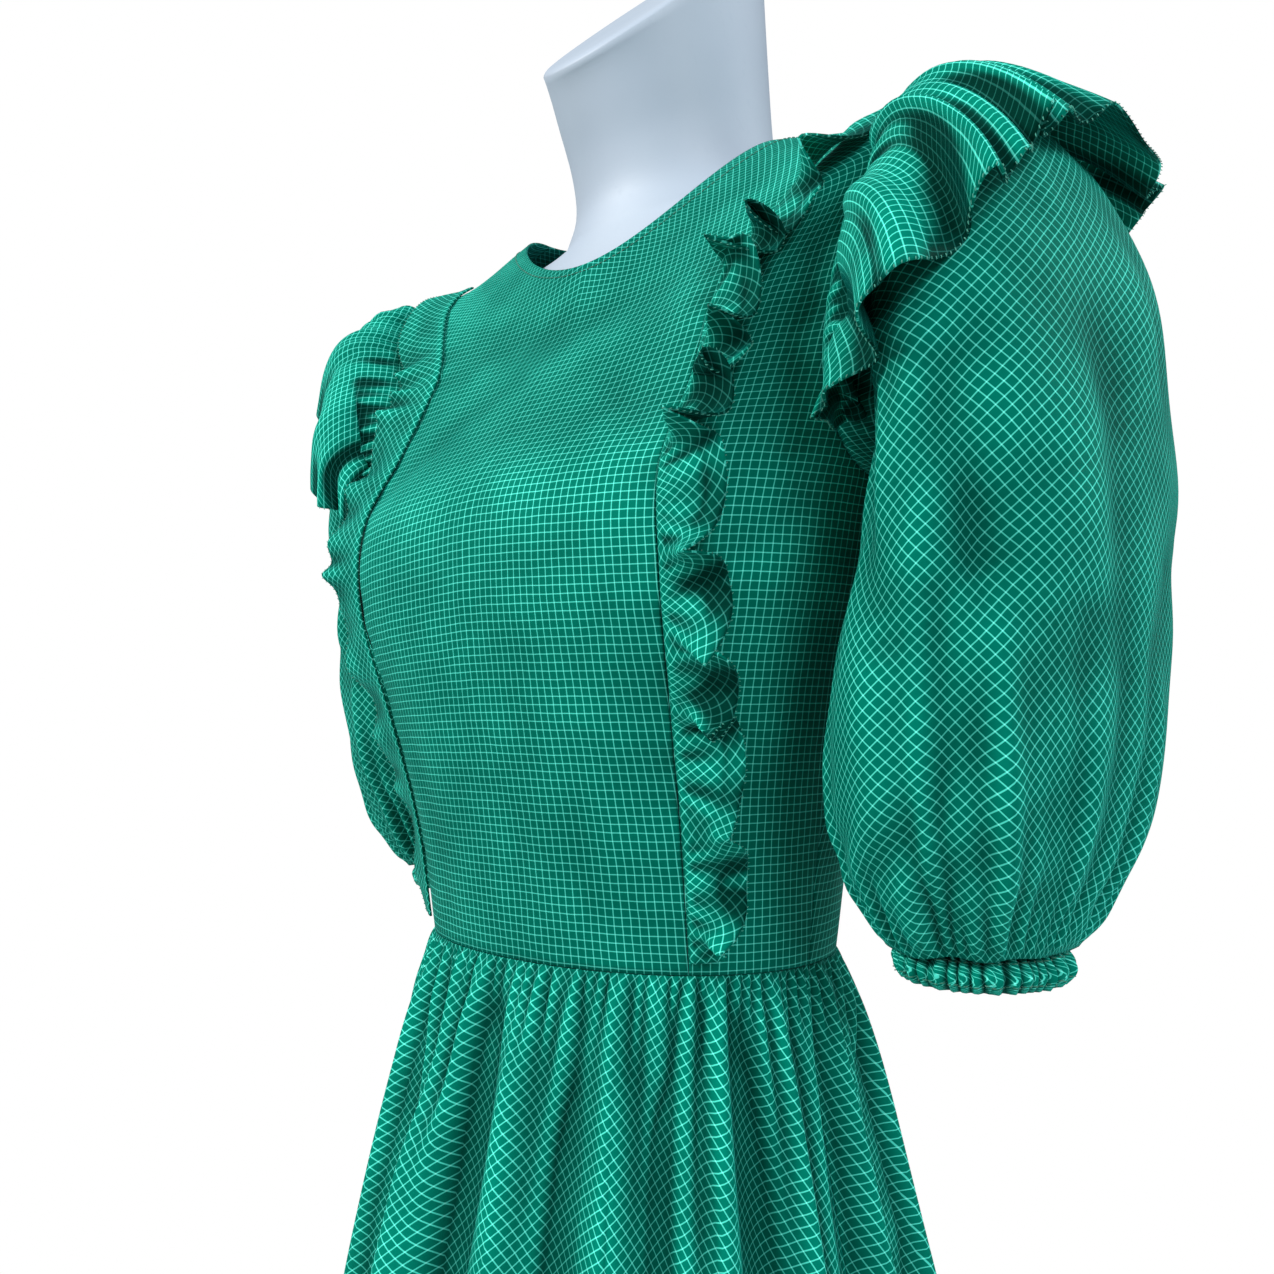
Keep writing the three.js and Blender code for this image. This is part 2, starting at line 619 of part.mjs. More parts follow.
/** Torso and neck of the form: one smooth closed body inside the bodice. */
function formTorso() {
  const around = 32;
  const rings = [];
  const turns = [];
  for (let i = 0; i < around; i += 1) turns.push((360 * i) / around);
  const level = (a, b, z) => turns.map((t) => new THREE.Vector3(
    a * Math.sin(t * DEG), -b * Math.cos(t * DEG), WAIST + z));
  rings.push(level(116, 92, FORM_BOTTOM));
  rings.push(level(110, 84, -60));
  rings.push(level(104, 76, -12));
  for (const ring of [0.15, 1, 2, 3, 4, 5, 6, 7, 8]) {
    rings.push(turns.map((t) => offTorso(t > 180 ? t - 360 : t, ring, -FORM_EASE)));
  }
  for (const row of FORM_NECK) {
    rings.push(turns.map((t) => {
      const y = -row.ry * Math.cos(t * DEG);
      return new THREE.Vector3(row.rx * Math.sin(t * DEG), row.y + y, WAIST + row.z + y * Math.tan(row.tilt * DEG));
    }));
  }
  const pos = [];
  const index = [];
  for (const ring of rings) for (const p of ring) pos.push(p.x, p.y, p.z);
  const top = rings[rings.length - 1];
  const middle = (ring) => ring.reduce((s, p) => s.add(p), new THREE.Vector3()).divideScalar(ring.length);
  for (const p of [middle(rings[0]), middle(top)]) pos.push(p.x, p.y, p.z);
  const low = rings.length * around;
  for (let r = 0; r < rings.length - 1; r += 1) {
    for (let c = 0; c < around; c += 1) {
      const d = (c + 1) % around;
      const a = r * around;
      index.push(a + c, a + d, a + around + d, a + c, a + around + d, a + around + c);
    }
  }
  const end = (rings.length - 1) * around;
  for (let c = 0; c < around; c += 1) {
    const d = (c + 1) % around;
    index.push(low, d, c);
    index.push(low + 1, end + c, end + d);
  }
  const g = new THREE.BufferGeometry();
  g.setAttribute("position", new THREE.Float32BufferAttribute(pos, 3));
  g.setIndex(index);
  return facing(g);
}

/** Solid of revolution about the pole from radius and height pairs. */
function turned(profile, segments) {
  const g = new THREE.LatheGeometry(profile.map(([r, z]) => new THREE.Vector2(r, z)), segments);
  g.rotateX(Math.PI / 2);
  return g;
}

const root = new THREE.Group();

/** Adds a named node with its own material. */
function add(name, geometry, paint) {
  const mesh = new THREE.Mesh(geometry, new THREE.MeshStandardMaterial(paint));
  mesh.name = name;
  root.add(mesh);
}

add("bodice_front_centre", centreFront(), PAINT.cloth);
for (const [side, name] of [[1, "left"], [-1, "right"]]) {
  add(`bodice_side_front_${name}`, sidePanel(side), PAINT.cloth);
  add(`bodice_back_${name}`, backPanel(side), PAINT.cloth);
  add(`front_ruffle_${name}`, frontRuffle(side), PAINT.cloth);
  add(`sleeve_${name}`, sleeve(side), PAINT.cloth);
  add(`cuff_${name}`, cuff(side), PAINT.cloth);
  add(`sleeve_head_ruffle_${name}`, headRuffle(side), PAINT.cloth);
}
add("skirt_front", skirtPiece(-90, 90), PAINT.cloth);
add("skirt_back_left", skirtPiece(90, 180), PAINT.cloth);
add("skirt_back_right", skirtPiece(180, 270), PAINT.cloth);
add("zip_tape", zipTape(), PAINT.zip);

// The slider lies along the seam, its pin on its outer face, and the tab rests just clear of the cloth below it
const seamTop = offTorso(180, 8.72, CLOTH);
const seamLow = offTorso(180, 8.08, CLOTH);
const sliderLean = Math.atan2(seamLow.y - seamTop.y, seamTop.z - seamLow.z);
const seamOut = new THREE.Vector3(0, Math.cos(sliderLean), Math.sin(sliderLean));
const sliderAt = seamTop.clone().lerp(seamLow, 0.5).addScaledVector(seamOut, GAP + 0.1 + SLIDER.deep / 2);
add("zip_slider", zipSlider(sliderAt, sliderLean), PAINT.zip);
const pin = sliderAt.clone().addScaledVector(seamOut, SLIDER.deep / 2 + PULL.stand + PULL.thick / 2);
const tabEnd = offTorso(180, 7.4, CLOTH + GAP + 0.3 + PULL.thick / 2);
add("zip_pull", zipPull(pin, Math.atan2(tabEnd.y - pin.y, pin.z - tabEnd.z)), PAINT.zip);

add("form_torso", formTorso(), PAINT.form);
const poleTop = WAIST + FORM_BOTTOM - GAP;
add("form_pole", turned([[0, BASE_H + GAP], [POLE_R, BASE_H + GAP], [POLE_R, poleTop], [0, poleTop]], 24), PAINT.steel);
add("form_socket", turned([
  [POLE_R + GAP, BASE_H + GAP], [SOCKET_R, BASE_H + GAP], [SOCKET_R, SOCKET_H - 6], [POLE_R + 4, SOCKET_H],
  [POLE_R + GAP, SOCKET_H], [POLE_R + GAP, BASE_H + GAP],
], 24), PAINT.steel);
add("form_base", turned([[0, 0], [BASE_R, 0], [BASE_R, BASE_H - 3], [BASE_R - 4, BASE_H], [0, BASE_H]], 56), PAINT.steel);

export default root;
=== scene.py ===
"""Prairie dress in green windowpane cotton on a limbless dress form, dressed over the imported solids.

Frame: metres, +Z up, the dress's front faces -Y and the wearer's left is +X. Tables and sizes of the garment
are in millimetres, as a pattern cutter writes them, and MM turns them into metres when a mesh is made.
"""

import logging
import math
from collections.abc import Sequence
from dataclasses import dataclass, field
from enum import Enum

import bpy
import numpy as np
from mathutils import Matrix, Vector


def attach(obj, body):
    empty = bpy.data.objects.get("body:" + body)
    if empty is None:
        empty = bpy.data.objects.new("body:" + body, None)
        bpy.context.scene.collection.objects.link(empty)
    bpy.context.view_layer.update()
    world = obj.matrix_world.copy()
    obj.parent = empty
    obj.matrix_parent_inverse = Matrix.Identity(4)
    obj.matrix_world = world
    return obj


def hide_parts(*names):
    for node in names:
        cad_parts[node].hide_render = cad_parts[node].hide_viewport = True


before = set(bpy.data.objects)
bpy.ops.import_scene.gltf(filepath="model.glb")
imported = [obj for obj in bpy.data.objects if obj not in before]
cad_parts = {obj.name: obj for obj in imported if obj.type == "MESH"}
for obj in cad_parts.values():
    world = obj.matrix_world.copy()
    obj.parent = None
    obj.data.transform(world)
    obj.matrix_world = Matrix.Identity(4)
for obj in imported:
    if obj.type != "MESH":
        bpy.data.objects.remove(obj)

LOG = logging.getLogger("dress")
MM = 0.001
DEG = math.pi / 180
ROUND = 2 * math.pi
WAIST = 1050.0
CLOTH = 1.5
RUFFLE = 1.2
SEAM_GAP = 0.3
WALL = 1.1
RUFFLE_WALL = 0.9
RUFFLE_FULLNESS = 1.05
CHECK_PITCH = 0.00379
BODICE_CORE = (0.0, 20.0)
SLEEVE_MIDDLE = (196.0, 20.0, WAIST + 250)

Colour = tuple[float, float, float, float]


class Side(Enum):
    """Side of the wearer, with the sign of its X."""

    LEFT = 1
    RIGHT = -1


class Grain(Enum):
    """Angle of the weave to a piece's own length, in degrees."""

    STRAIGHT = 0.0
    BIAS = 45.0


class Held(Enum):
    """How a cut piece of cloth is held."""

    STRETCHED = "stretched"
    GATHERED = "gathered"
    HUNG = "hung"


@dataclass(frozen=True)
class Table:
    """Short table with named columns, read smoothly between its rows.

    Attributes:
        columns: Names of the columns. The first rises from row to row.
        rows: One tuple of numbers for each section.
    """

    columns: tuple[str, ...]
    rows: tuple[tuple[float, ...], ...]

    def column(self, name: str) -> np.ndarray:
        """Whole column as an array."""
        return np.array([row[self.columns.index(name)] for row in self.rows], float)

    def at(self, name: str, place: np.ndarray | float) -> np.ndarray:
        """Smooth value of a column.

        Args:
            name: Column to read.
            place: Places along the first column.

        Returns:
            Values, in the shape of place.
        """
        x = self.column(self.columns[0])
        y = self.column(name)
        last = len(x) - 1
        place = np.asarray(place, float)
        i = np.searchsorted(x[1:-1], place, side="left")
        before, after = np.maximum(i - 1, 0), np.minimum(i + 2, last)
        span = x[i + 1] - x[i]
        t = np.clip((place - x[i]) / span, 0, 1)
        low = (y[i + 1] - y[before]) / (x[i + 1] - x[before])
        high = (y[after] - y[i]) / (x[after] - x[i])
        t2, t3 = t * t, t * t * t
        return (
            (2 * t3 - 3 * t2 + 1) * y[i]
            + (t3 - 2 * t2 + t) * span * low
            + (3 * t2 - 2 * t3) * y[i + 1]
            + (t3 - t2) * span * high
        )


def unit(v: np.ndarray) -> np.ndarray:
    """Vectors of length one along the same directions."""
    return v / np.maximum(np.linalg.norm(v, axis=-1, keepdims=True), 1e-9)


def powered(v: np.ndarray, exponent: np.ndarray | float) -> np.ndarray:
    """Power of a number's size, with its sign kept."""
    return np.sign(v) * np.abs(v) ** exponent


def ease(low: float, high: float, v: np.ndarray) -> np.ndarray:
    """Smooth step from 0 at low to 1 at high."""
    t = np.clip((v - low) / (high - low), 0, 1)
    return t * t * (3 - 2 * t)


def arc(points: np.ndarray, axis: int) -> np.ndarray:
    """Length run along one axis of a grid of points.

    Args:
        points: Grid, rows by columns by 3.
        axis: 0 to run up the columns, 1 to run along the rows.

    Returns:
        Run length at each point, 0 at the first.
    """
    step = np.linalg.norm(np.diff(points, axis=axis), axis=-1)
    start = np.zeros((1, points.shape[1]) if axis == 0 else (points.shape[0], 1))
    return np.concatenate([start, np.cumsum(step, axis=axis)], axis=axis)


def grid_normals(points: np.ndarray, closed: bool) -> np.ndarray:
    """Normals of a grid of points.

    Args:
        points: Grid, rows by columns by 3.
        closed: Whether each row closes on itself.

    Returns:
        Unit normals, columns direction crossed with rows direction.
    """
    if closed:
        along = np.roll(points, -1, axis=1) - np.roll(points, 1, axis=1)
    else:
        along = np.gradient(points, axis=1)
    return unit(np.cross(along, np.gradient(points, axis=0)))


def waver(u: np.ndarray, v: np.ndarray, size: float, seed: int, count: int = 9) -> np.ndarray:
    """Soft unevenness of cloth: a sum of long slanting waves.

    Args:
        u: Place across, mm.
        v: Place up, mm.
        size: Mean wavelength, mm.
        seed: Seed of the waves' directions.
        count: Number of waves.

    Returns:
        Height from about -1 to 1.
    """
    rng = np.random.default_rng(seed)
    total = np.zeros(np.broadcast(u, v).shape)
    for _ in range(count):
        turn, phase = rng.uniform(0, ROUND, 2)
        length = size * rng.uniform(0.6, 1.7)
        total += np.sin(ROUND * (u * math.cos(turn) + v * math.sin(turn)) / length + phase)
    return total / math.sqrt(count) * 0.7


@dataclass(frozen=True)
class Gathers:
    """Folds that run in from a gathered seam, uneven in place, length and height.

    Attributes:
        count: How many folds lie along the seam.
        reach: Mean length of a fold, mm.
        height: Mean height, mm.
        width: Half width of a fold at the seam, in shares of the mean spacing.
        spread: How much wider a fold is at its end than at the seam.
        rise: Length over which a fold grows from the seam, mm.
        seed: Seed of the unevenness.
    """

    count: int
    reach: float
    height: float
    width: float = 0.34
    spread: float = 1.2
    rise: float = 5.0
    seed: int = 1

    def relief(self, place: np.ndarray, away: np.ndarray, span: float, closed: bool) -> np.ndarray:
        """Height of the folds over a piece.

        Args:
            place: Place along the seam, in any unit.
            away: Distance from the seam, mm.
            span: Length of the seam, in the unit of place.
            closed: Whether the seam closes on itself.

        Returns:
            Heights in mm, about zero on average.
        """
        rng = np.random.default_rng(self.seed)
        pitch = span / self.count
        total = np.zeros(np.broadcast(place, away).shape)
        for i in range(self.count):
            middle = (i + 0.5 + rng.uniform(-0.3, 0.3)) * pitch
            reach = self.reach * rng.choice([0.45, 0.7, 1.0, 1.7]) * rng.uniform(0.8, 1.2)
            height = self.height * rng.uniform(0.55, 1.35)
            lean = rng.uniform(-0.35, 0.35) * pitch
            t = away / reach
            off = place - middle - lean * t
            if closed:
                off = (off + span / 2) % span - span / 2
            wide = pitch * self.width * (1 + self.spread * np.clip(t, 0, 2))
            grow = (1 - np.exp(-away / self.rise)) * np.exp(-(t**2))
            ridge, trough = np.exp(-((off / wide) ** 2)), np.exp(-((off / wide / 1.9) ** 2))
            total += height * grow * (ridge - 0.55 * trough)
        return total


@dataclass(frozen=True)
class Crease:
    """One main fold: a soft ridge or trough along a line on a piece.

    Attributes:
        start: Place where it starts, in the piece's own two numbers.
        end: Place where it ends.
        width: Half width, mm.
        height: Height, mm, below zero for a trough.
    """

    start: tuple[float, float]
    end: tuple[float, float]
    width: float
    height: float

    def relief(self, points: np.ndarray, a: np.ndarray, b: np.ndarray) -> np.ndarray:
        """Height of this fold at a grid of points.

        Args:
            points: Grid of points, mm.
            a: Point where the fold starts.
            b: Point where it ends.

        Returns:
            Heights in mm.
        """
        line = b - a
        t = np.clip(((points - a) @ line) / (line @ line), 0, 1)
        off = np.linalg.norm(points - (a + t[..., None] * line), axis=-1)
        taper = 0.25 + 0.75 * np.sin(math.pi * np.clip(t, 0.02, 0.98)) ** 0.6
        return self.height * taper * np.exp(-((off / self.width) ** 2))


@dataclass
class Sheet:
    """A cut piece of cloth as a thin closed wall.

    Attributes:
        name: Name of the piece.
        points: Mid surface, rows by columns by 3, mm.
        pattern: Place of each point on the flat cut, rows by columns by 2, mm.
        grain: Weave's angle to the piece.
        thick: Wall, mm.
        closed: Whether the rows close on themselves. The pattern then has one more column.
        core: X and Y of the upright axis that it lies round, or none for its own middle.
        fold_shade_strength: How strongly painted shade darkens its fold troughs and painted light lightens
            its ridges.
    """

    name: str
    points: np.ndarray
    pattern: np.ndarray
    grain: float = Grain.STRAIGHT.value
    thick: float = WALL
    closed: bool = False
    core: tuple[float, float] | None = None
    fold_shade_strength: float = 1.0

    def faces(self) -> tuple[np.ndarray, np.ndarray, np.ndarray]:
        """Corner numbers of every face.

        Returns:
            Vertex numbers, pattern numbers and whether each face is on the rim.
        """
        rows, cols = self.points.shape[:2]
        wide = self.pattern.shape[1]
        r, c = np.meshgrid(np.arange(rows - 1), np.arange(wide - 1), indexing="ij")
        r, c = r.ravel(), c.ravel()
        ring = np.array([[0, 0], [0, 1], [1, 1], [1, 0]])
        rr, cc = r[:, None] + ring[:, 0], c[:, None] + ring[:, 1]
        outer = rows * cols + rr * cols + cc % cols
        inner = (rr * cols + cc % cols)[:, ::-1]
        uv = rr * wide + cc
        blocks = [(outer, uv, False), (inner, uv[:, ::-1], False)]
        for row, flip in ((0, False), (rows - 1, True)):
            blocks.append((*self._rim(np.full(wide, row), np.arange(wide), flip), True))
        if not self.closed:
            for col, flip in ((0, True), (cols - 1, False)):
                blocks.append((*self._rim(np.arange(rows), np.full(rows, col), flip), True))
        verts = np.concatenate([b[0] for b in blocks])
        uvs = np.concatenate([b[1] for b in blocks])
        rim = np.concatenate([np.full(len(b[0]), b[2]) for b in blocks])
        return verts, uvs, rim

    def _rim(self, r: np.ndarray, c: np.ndarray, flip: bool) -> tuple[np.ndarray, np.ndarray]:
        """Faces that join the two skins along one edge."""
        rows, cols = self.points.shape[:2]
        wide = self.pattern.shape[1]
        at = r * cols + c % cols
        uv = r * wide + c
        block = np.stack([at[:-1], at[1:], at[1:] + rows * cols, at[:-1] + rows * cols], axis=1)
        flat = np.stack([uv[:-1], uv[1:], uv[1:], uv[:-1]], axis=1)
        return (block[:, ::-1], flat[:, ::-1]) if flip else (block, flat)

    def spread(self, reach: int) -> np.ndarray:
        """Points averaged over their neighbours, reach steps each way."""
        p = self.points
        size = 2 * reach + 1
        for axis in (0, 1):
            pad = [(0, 0)] * 3
            pad[axis] = (reach, reach)
            if self.closed and axis:
                wide = np.pad(p, pad, "wrap")
            else:
                wide = np.pad(p, pad, "reflect", reflect_type="odd")
            first = np.zeros_like(np.take(wide, [0], axis))
            total = np.cumsum(np.concatenate([first, wide], axis=axis), axis=axis)
            high = np.take(total, range(size, total.shape[axis]), axis)
            low = np.take(total, range(total.shape[axis] - size), axis)
            p = (high - low) / size
        return p

    def fold_shade_mask(self, normals: np.ndarray) -> np.ndarray:
        """Mask of painted fold shade: how deep each point lies in a fold, from below 0 in the troughs to
        above 0 on the ridges.
        """
        middle = self.points.reshape(-1, 3).mean(0) if self.core is None else np.array([*self.core, 0.0])
        away = self.points - middle
        away[..., 2] = 0
        sign = math.copysign(1.0, float((normals * away).sum()))
        total = np.zeros(self.points.shape[:2])
        for reach, depth in ((2, 0.5), (5, 1.3), (11, 3.5)):
            if min(self.points.shape[:2]) > 2 * reach + 2:
                step = ((self.points - self.spread(reach)) * normals).sum(-1) * sign
                total += np.clip((step - np.median(step)) / depth, -1, 1)
        return total / 2 * self.fold_shade_strength

    def build(self) -> bpy.types.Object:
        """Makes the object with its cloth map.

        Returns:
            The new object, linked to the scene.
        """
        normals = grid_normals(self.points, self.closed)
        half = normals * self.thick / 2
        verts = np.concatenate([(self.points - half).reshape(-1, 3), (self.points + half).reshape(-1, 3)])
        faces, uvs, rim = self.faces()
        mesh = bpy.data.meshes.new(self.name)
        mesh.from_pydata((verts * MM).tolist(), [], faces.tolist())
        turn = self.grain * DEG
        flat = self.pattern.reshape(-1, 2) * MM
        spin = np.array([[math.cos(turn), math.sin(turn)], [-math.sin(turn), math.cos(turn)]])
        layer = mesh.uv_layers.new(name="Cloth")
        layer.data.foreach_set("uv", (flat @ spin)[uvs.ravel()].astype(np.float32).ravel())
        mesh.polygons.foreach_set("use_smooth", ~rim)
        # Painted shade and light: the fold mask goes on every vertex, to darken the cloth's colour in troughs
        # and lighten it on ridges.
        folds = mesh.attributes.new("Fold", "FLOAT", "POINT")
        folds.data.foreach_set("value", np.tile(self.fold_shade_mask(normals).ravel(), 2).astype(np.float32))
        mesh.update()
        if signed_volume(verts, faces) < 0:
            mesh.flip_normals()
        return linked(self.name, mesh)

    def cut(self) -> tuple[float, float, float]:
        """Width, length and area of the flat cut, in metres."""
        flat = self.pattern * MM
        low, high = flat.reshape(-1, 2).min(0), flat.reshape(-1, 2).max(0)
        a = flat[1:, 1:] - flat[:-1, :-1]
        b = flat[1:, :-1] - flat[:-1, 1:]
        area = float(np.abs(a[..., 0] * b[..., 1] - a[..., 1] * b[..., 0]).sum() / 2)
        return float(high[0] - low[0]), float(high[1] - low[1]), area


def linked(name: str, data: bpy.types.ID | None) -> bpy.types.Object:
    """New object in the scene, for a mesh, a light or a camera."""
    made = bpy.data.objects.new(name, data)
    bpy.context.scene.collection.objects.link(made)
    return made


def signed_volume(verts: np.ndarray, faces: np.ndarray) -> float:
    """Volume inside quads, below zero where they face inward."""
    a, b, c, d = (verts[faces[:, k]] for k in range(4))
    return float((a * (np.cross(b, c) + np.cross(c, d))).sum())


def place(
    obj: bpy.types.Object,
    material: bpy.types.Material,
    slot: str,
    nodes: Sequence[str] = (),
    body: str = "root",
) -> bpy.types.Object:
    """Gives a piece its material and its place in the frame.

    Args:
        obj: The piece.
        material: Finish.
        slot: Slot of the record; not used.
        nodes: Solids that it stands for.
        body: Body that it moves with.

    Returns:
        The same piece.
    """
    obj.data.materials.clear()
    obj.data.materials.append(material)
    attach(obj, body)
    if nodes:
        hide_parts(*nodes)
    LOG.info("%s: %d faces", obj.name, len(obj.data.polygons))
    return obj


# Finishes


class Nodes:
    """Short hand for building a node tree."""

    def __init__(self, tree: bpy.types.NodeTree) -> None:
        """Starts on an empty tree."""
        self.tree = tree
        tree.nodes.clear()

    def add(self, kind: str, values: dict | None = None, **settings: object) -> bpy.types.Node:
        """Adds a node.

        Args:
            kind: Blender's name for the node.
            values: Socket values or links by socket name or number.
            **settings: Properties of the node.

        Returns:
            The node.
        """
        node = self.tree.nodes.new(kind)
        for key, value in settings.items():
            setattr(node, key, value)
        for key, value in (values or {}).items():
            if isinstance(value, bpy.types.NodeSocket):
                self.tree.links.new(value, node.inputs[key])
            else:
                node.inputs[key].default_value = value
        return node

    def math(self, operation: str, a: object, b: object = 0.0, c: object = 0.0) -> bpy.types.NodeSocket:
        """Adds a Math node and returns its value."""
        return self.add("ShaderNodeMath", {0: a, 1: b, 2: c}, operation=operation).outputs[0]

    def ramp(
        self, value: object, low: float, high: float, to_low: float, to_high: float
    ) -> bpy.types.NodeSocket:
        """Smooth map of a value from one range to another."""
        node = self.add(
            "ShaderNodeMapRange",
            {"Value": value, "From Min": low, "From Max": high, "To Min": to_low, "To Max": to_high},
            interpolation_type="SMOOTHSTEP",
        )
        return node.outputs["Result"]

    def mix(self, factor: object, a: object, b: object) -> bpy.types.NodeSocket:
        """Mix of two colours."""
        node = self.add("ShaderNodeMix", data_type="RGBA")
        for socket, value in ((node.inputs[0], factor), (node.inputs[6], a), (node.inputs[7], b)):
            if isinstance(value, bpy.types.NodeSocket):
                self.tree.links.new(value, socket)
            else:
                socket.default_value = value
        return node.outputs[2]

    def link(self, source: bpy.types.NodeSocket, target: bpy.types.NodeSocket) -> None:
        """Joins two sockets."""
        self.tree.links.new(source, target)

    def surface(self, values: dict) -> None:
        """Ends the tree in a Principled shader with the given sockets."""
        shell = self.add("ShaderNodeBsdfPrincipled", values)
        self.link(shell.outputs[0], self.add("ShaderNodeOutputMaterial").inputs[0])


def new_material(name: str) -> tuple[bpy.types.Material, Nodes]:
    """Empty material with its node tree."""
    made = bpy.data.materials.new(name)
    made.use_nodes = True
    return made, Nodes(made.node_tree)


def group_tree(
    name: str, inputs: dict[str, tuple[str, object]], outputs: dict[str, str]
) -> bpy.types.NodeTree:
    """New shader group with named sockets.

    Args:
        name: Name of the group.
        inputs: Socket type and default value by name.
        outputs: Socket type by name.

    Returns:
        The empty group.
    """
    tree = bpy.data.node_groups.new(name, "ShaderNodeTree")
    for key, (kind, value) in inputs.items():
        socket = tree.interface.new_socket(name=key, in_out="INPUT", socket_type=kind)
        if value is not None:
            socket.default_value = value
    for key, kind in outputs.items():
        tree.interface.new_socket(name=key, in_out="OUTPUT", socket_type=kind)
    return tree


def windowpane_group() -> bpy.types.NodeTree:
    """Group that draws the woven lines of the check from the cloth map.

    Returns:
        Group with the inputs Map, Pitch and Line, and the outputs Warp, Weft and Cross.
    """
    tree = group_tree(
        "Windowpane",
        {
            "Map": ("NodeSocketVector", None),
            "Pitch": ("NodeSocketFloat", CHECK_PITCH),
            "Line": ("NodeSocketFloat", 0.16),
        },
        {"Warp": "NodeSocketFloat", "Weft": "NodeSocketFloat", "Cross": "NodeSocketFloat"},
    )
    n = Nodes(tree)
    given = n.add("NodeGroupInput")
    out = n.add("NodeGroupOutput")
    wander = n.add("ShaderNodeTexNoise", {"Vector": given.outputs["Map"], "Scale": 55.0, "Detail": 2.0})
    parts = n.add("ShaderNodeSeparateXYZ", {0: given.outputs["Map"]})
    shift = n.math("MULTIPLY", n.math("SUBTRACT", wander.outputs[0], 0.5), 0.0009)
    masks = []
    for axis in (0, 1):
        across = n.math("ADD", parts.outputs[axis], shift)
        cell = n.math("FRACT", n.math("DIVIDE", across, given.outputs["Pitch"]))
        off = n.math("ABSOLUTE", n.math("SUBTRACT", cell, 0.5))
        edge = n.math("MULTIPLY", given.outputs["Line"], 0.5)
        soft = n.math("DIVIDE", n.math("SUBTRACT", off, edge), 0.035)
        masks.append(n.math("SUBTRACT", 1.0, n.math("MINIMUM", n.math("MAXIMUM", soft, 0.0), 1.0)))
    n.link(masks[0], out.inputs["Warp"])
    n.link(masks[1], out.inputs["Weft"])
    n.link(n.math("MULTIPLY", masks[0], masks[1]), out.inputs["Cross"])
    return tree


def weave_group() -> bpy.types.NodeTree:
    """Group for plain weave: height of the yarns and a slow unevenness of their shade.

    Returns:
        Group with the inputs Map and Yarn, and the outputs Height and Shade.
    """
    tree = group_tree(
        "Plain weave",
        {"Map": ("NodeSocketVector", None), "Yarn": ("NodeSocketFloat", 0.00038)},
        {"Height": "NodeSocketFloat", "Shade": "NodeSocketFloat"},
    )
    n = Nodes(tree)
    given = n.add("NodeGroupInput")
    out = n.add("NodeGroupOutput")
    parts = n.add("ShaderNodeSeparateXYZ", {0: given.outputs["Map"]})
    waves = []
    for axis in (0, 1):
        turns = n.math("DIVIDE", parts.outputs[axis], given.outputs["Yarn"])
        waves.append(n.math("SINE", n.math("MULTIPLY", turns, ROUND)))
    slub = n.add("ShaderNodeTexNoise", {"Vector": given.outputs["Map"], "Scale": 900.0, "Detail": 3.0})
    over = n.math("MULTIPLY", waves[0], waves[1])
    n.link(n.math("ADD", over, slub.outputs[0]), out.inputs["Height"])
    cloud = n.add("ShaderNodeTexNoise", {"Vector": given.outputs["Map"], "Scale": 26.0, "Detail": 4.0})
    n.link(n.ramp(cloud.outputs[0], 0.3, 0.7, 0.86, 1.12), out.inputs["Shade"])
    return tree


def rub_group() -> bpy.types.NodeTree:
    """Group for handling marks on hard surfaces: fine scuffs and soft clouds.

    Returns:
        Group with the input Size, and the outputs Scuff and Cloud.
    """
    tree = group_tree(
        "Rubbed surface",
        {"Size": ("NodeSocketFloat", 1.0)},
        {"Scuff": "NodeSocketFloat", "Cloud": "NodeSocketFloat"},
    )
    n = Nodes(tree)
    given = n.add("NodeGroupInput")
    out = n.add("NodeGroupOutput")
    coords = n.add("ShaderNodeTexCoord")
    kinds = (("Scuff", 260.0, 5.0, 0.55, 0.75), ("Cloud", 9.0, 3.0, 0.3, 0.7))
    for name, fineness, detail, low, high in kinds:
        scale = n.math("MULTIPLY", given.outputs["Size"], fineness)
        noise = n.add(
            "ShaderNodeTexNoise",
            {"Vector": coords.outputs["Object"], "Scale": scale, "Detail": detail},
        )
        n.link(n.ramp(noise.outputs[0], low, high, 0.0, 1.0), out.inputs[name])
    return tree


@dataclass
class Effects:
    """The shader groups, built once.

    Attributes:
        windowpane: Lines of the check and their crossings.
        weave: Yarns, as height and shade.
        rub: Fine scuffs and broad clouds of wear.
    """

    windowpane: bpy.types.NodeTree = field(default_factory=windowpane_group)
    weave: bpy.types.NodeTree = field(default_factory=weave_group)
    rub: bpy.types.NodeTree = field(default_factory=rub_group)


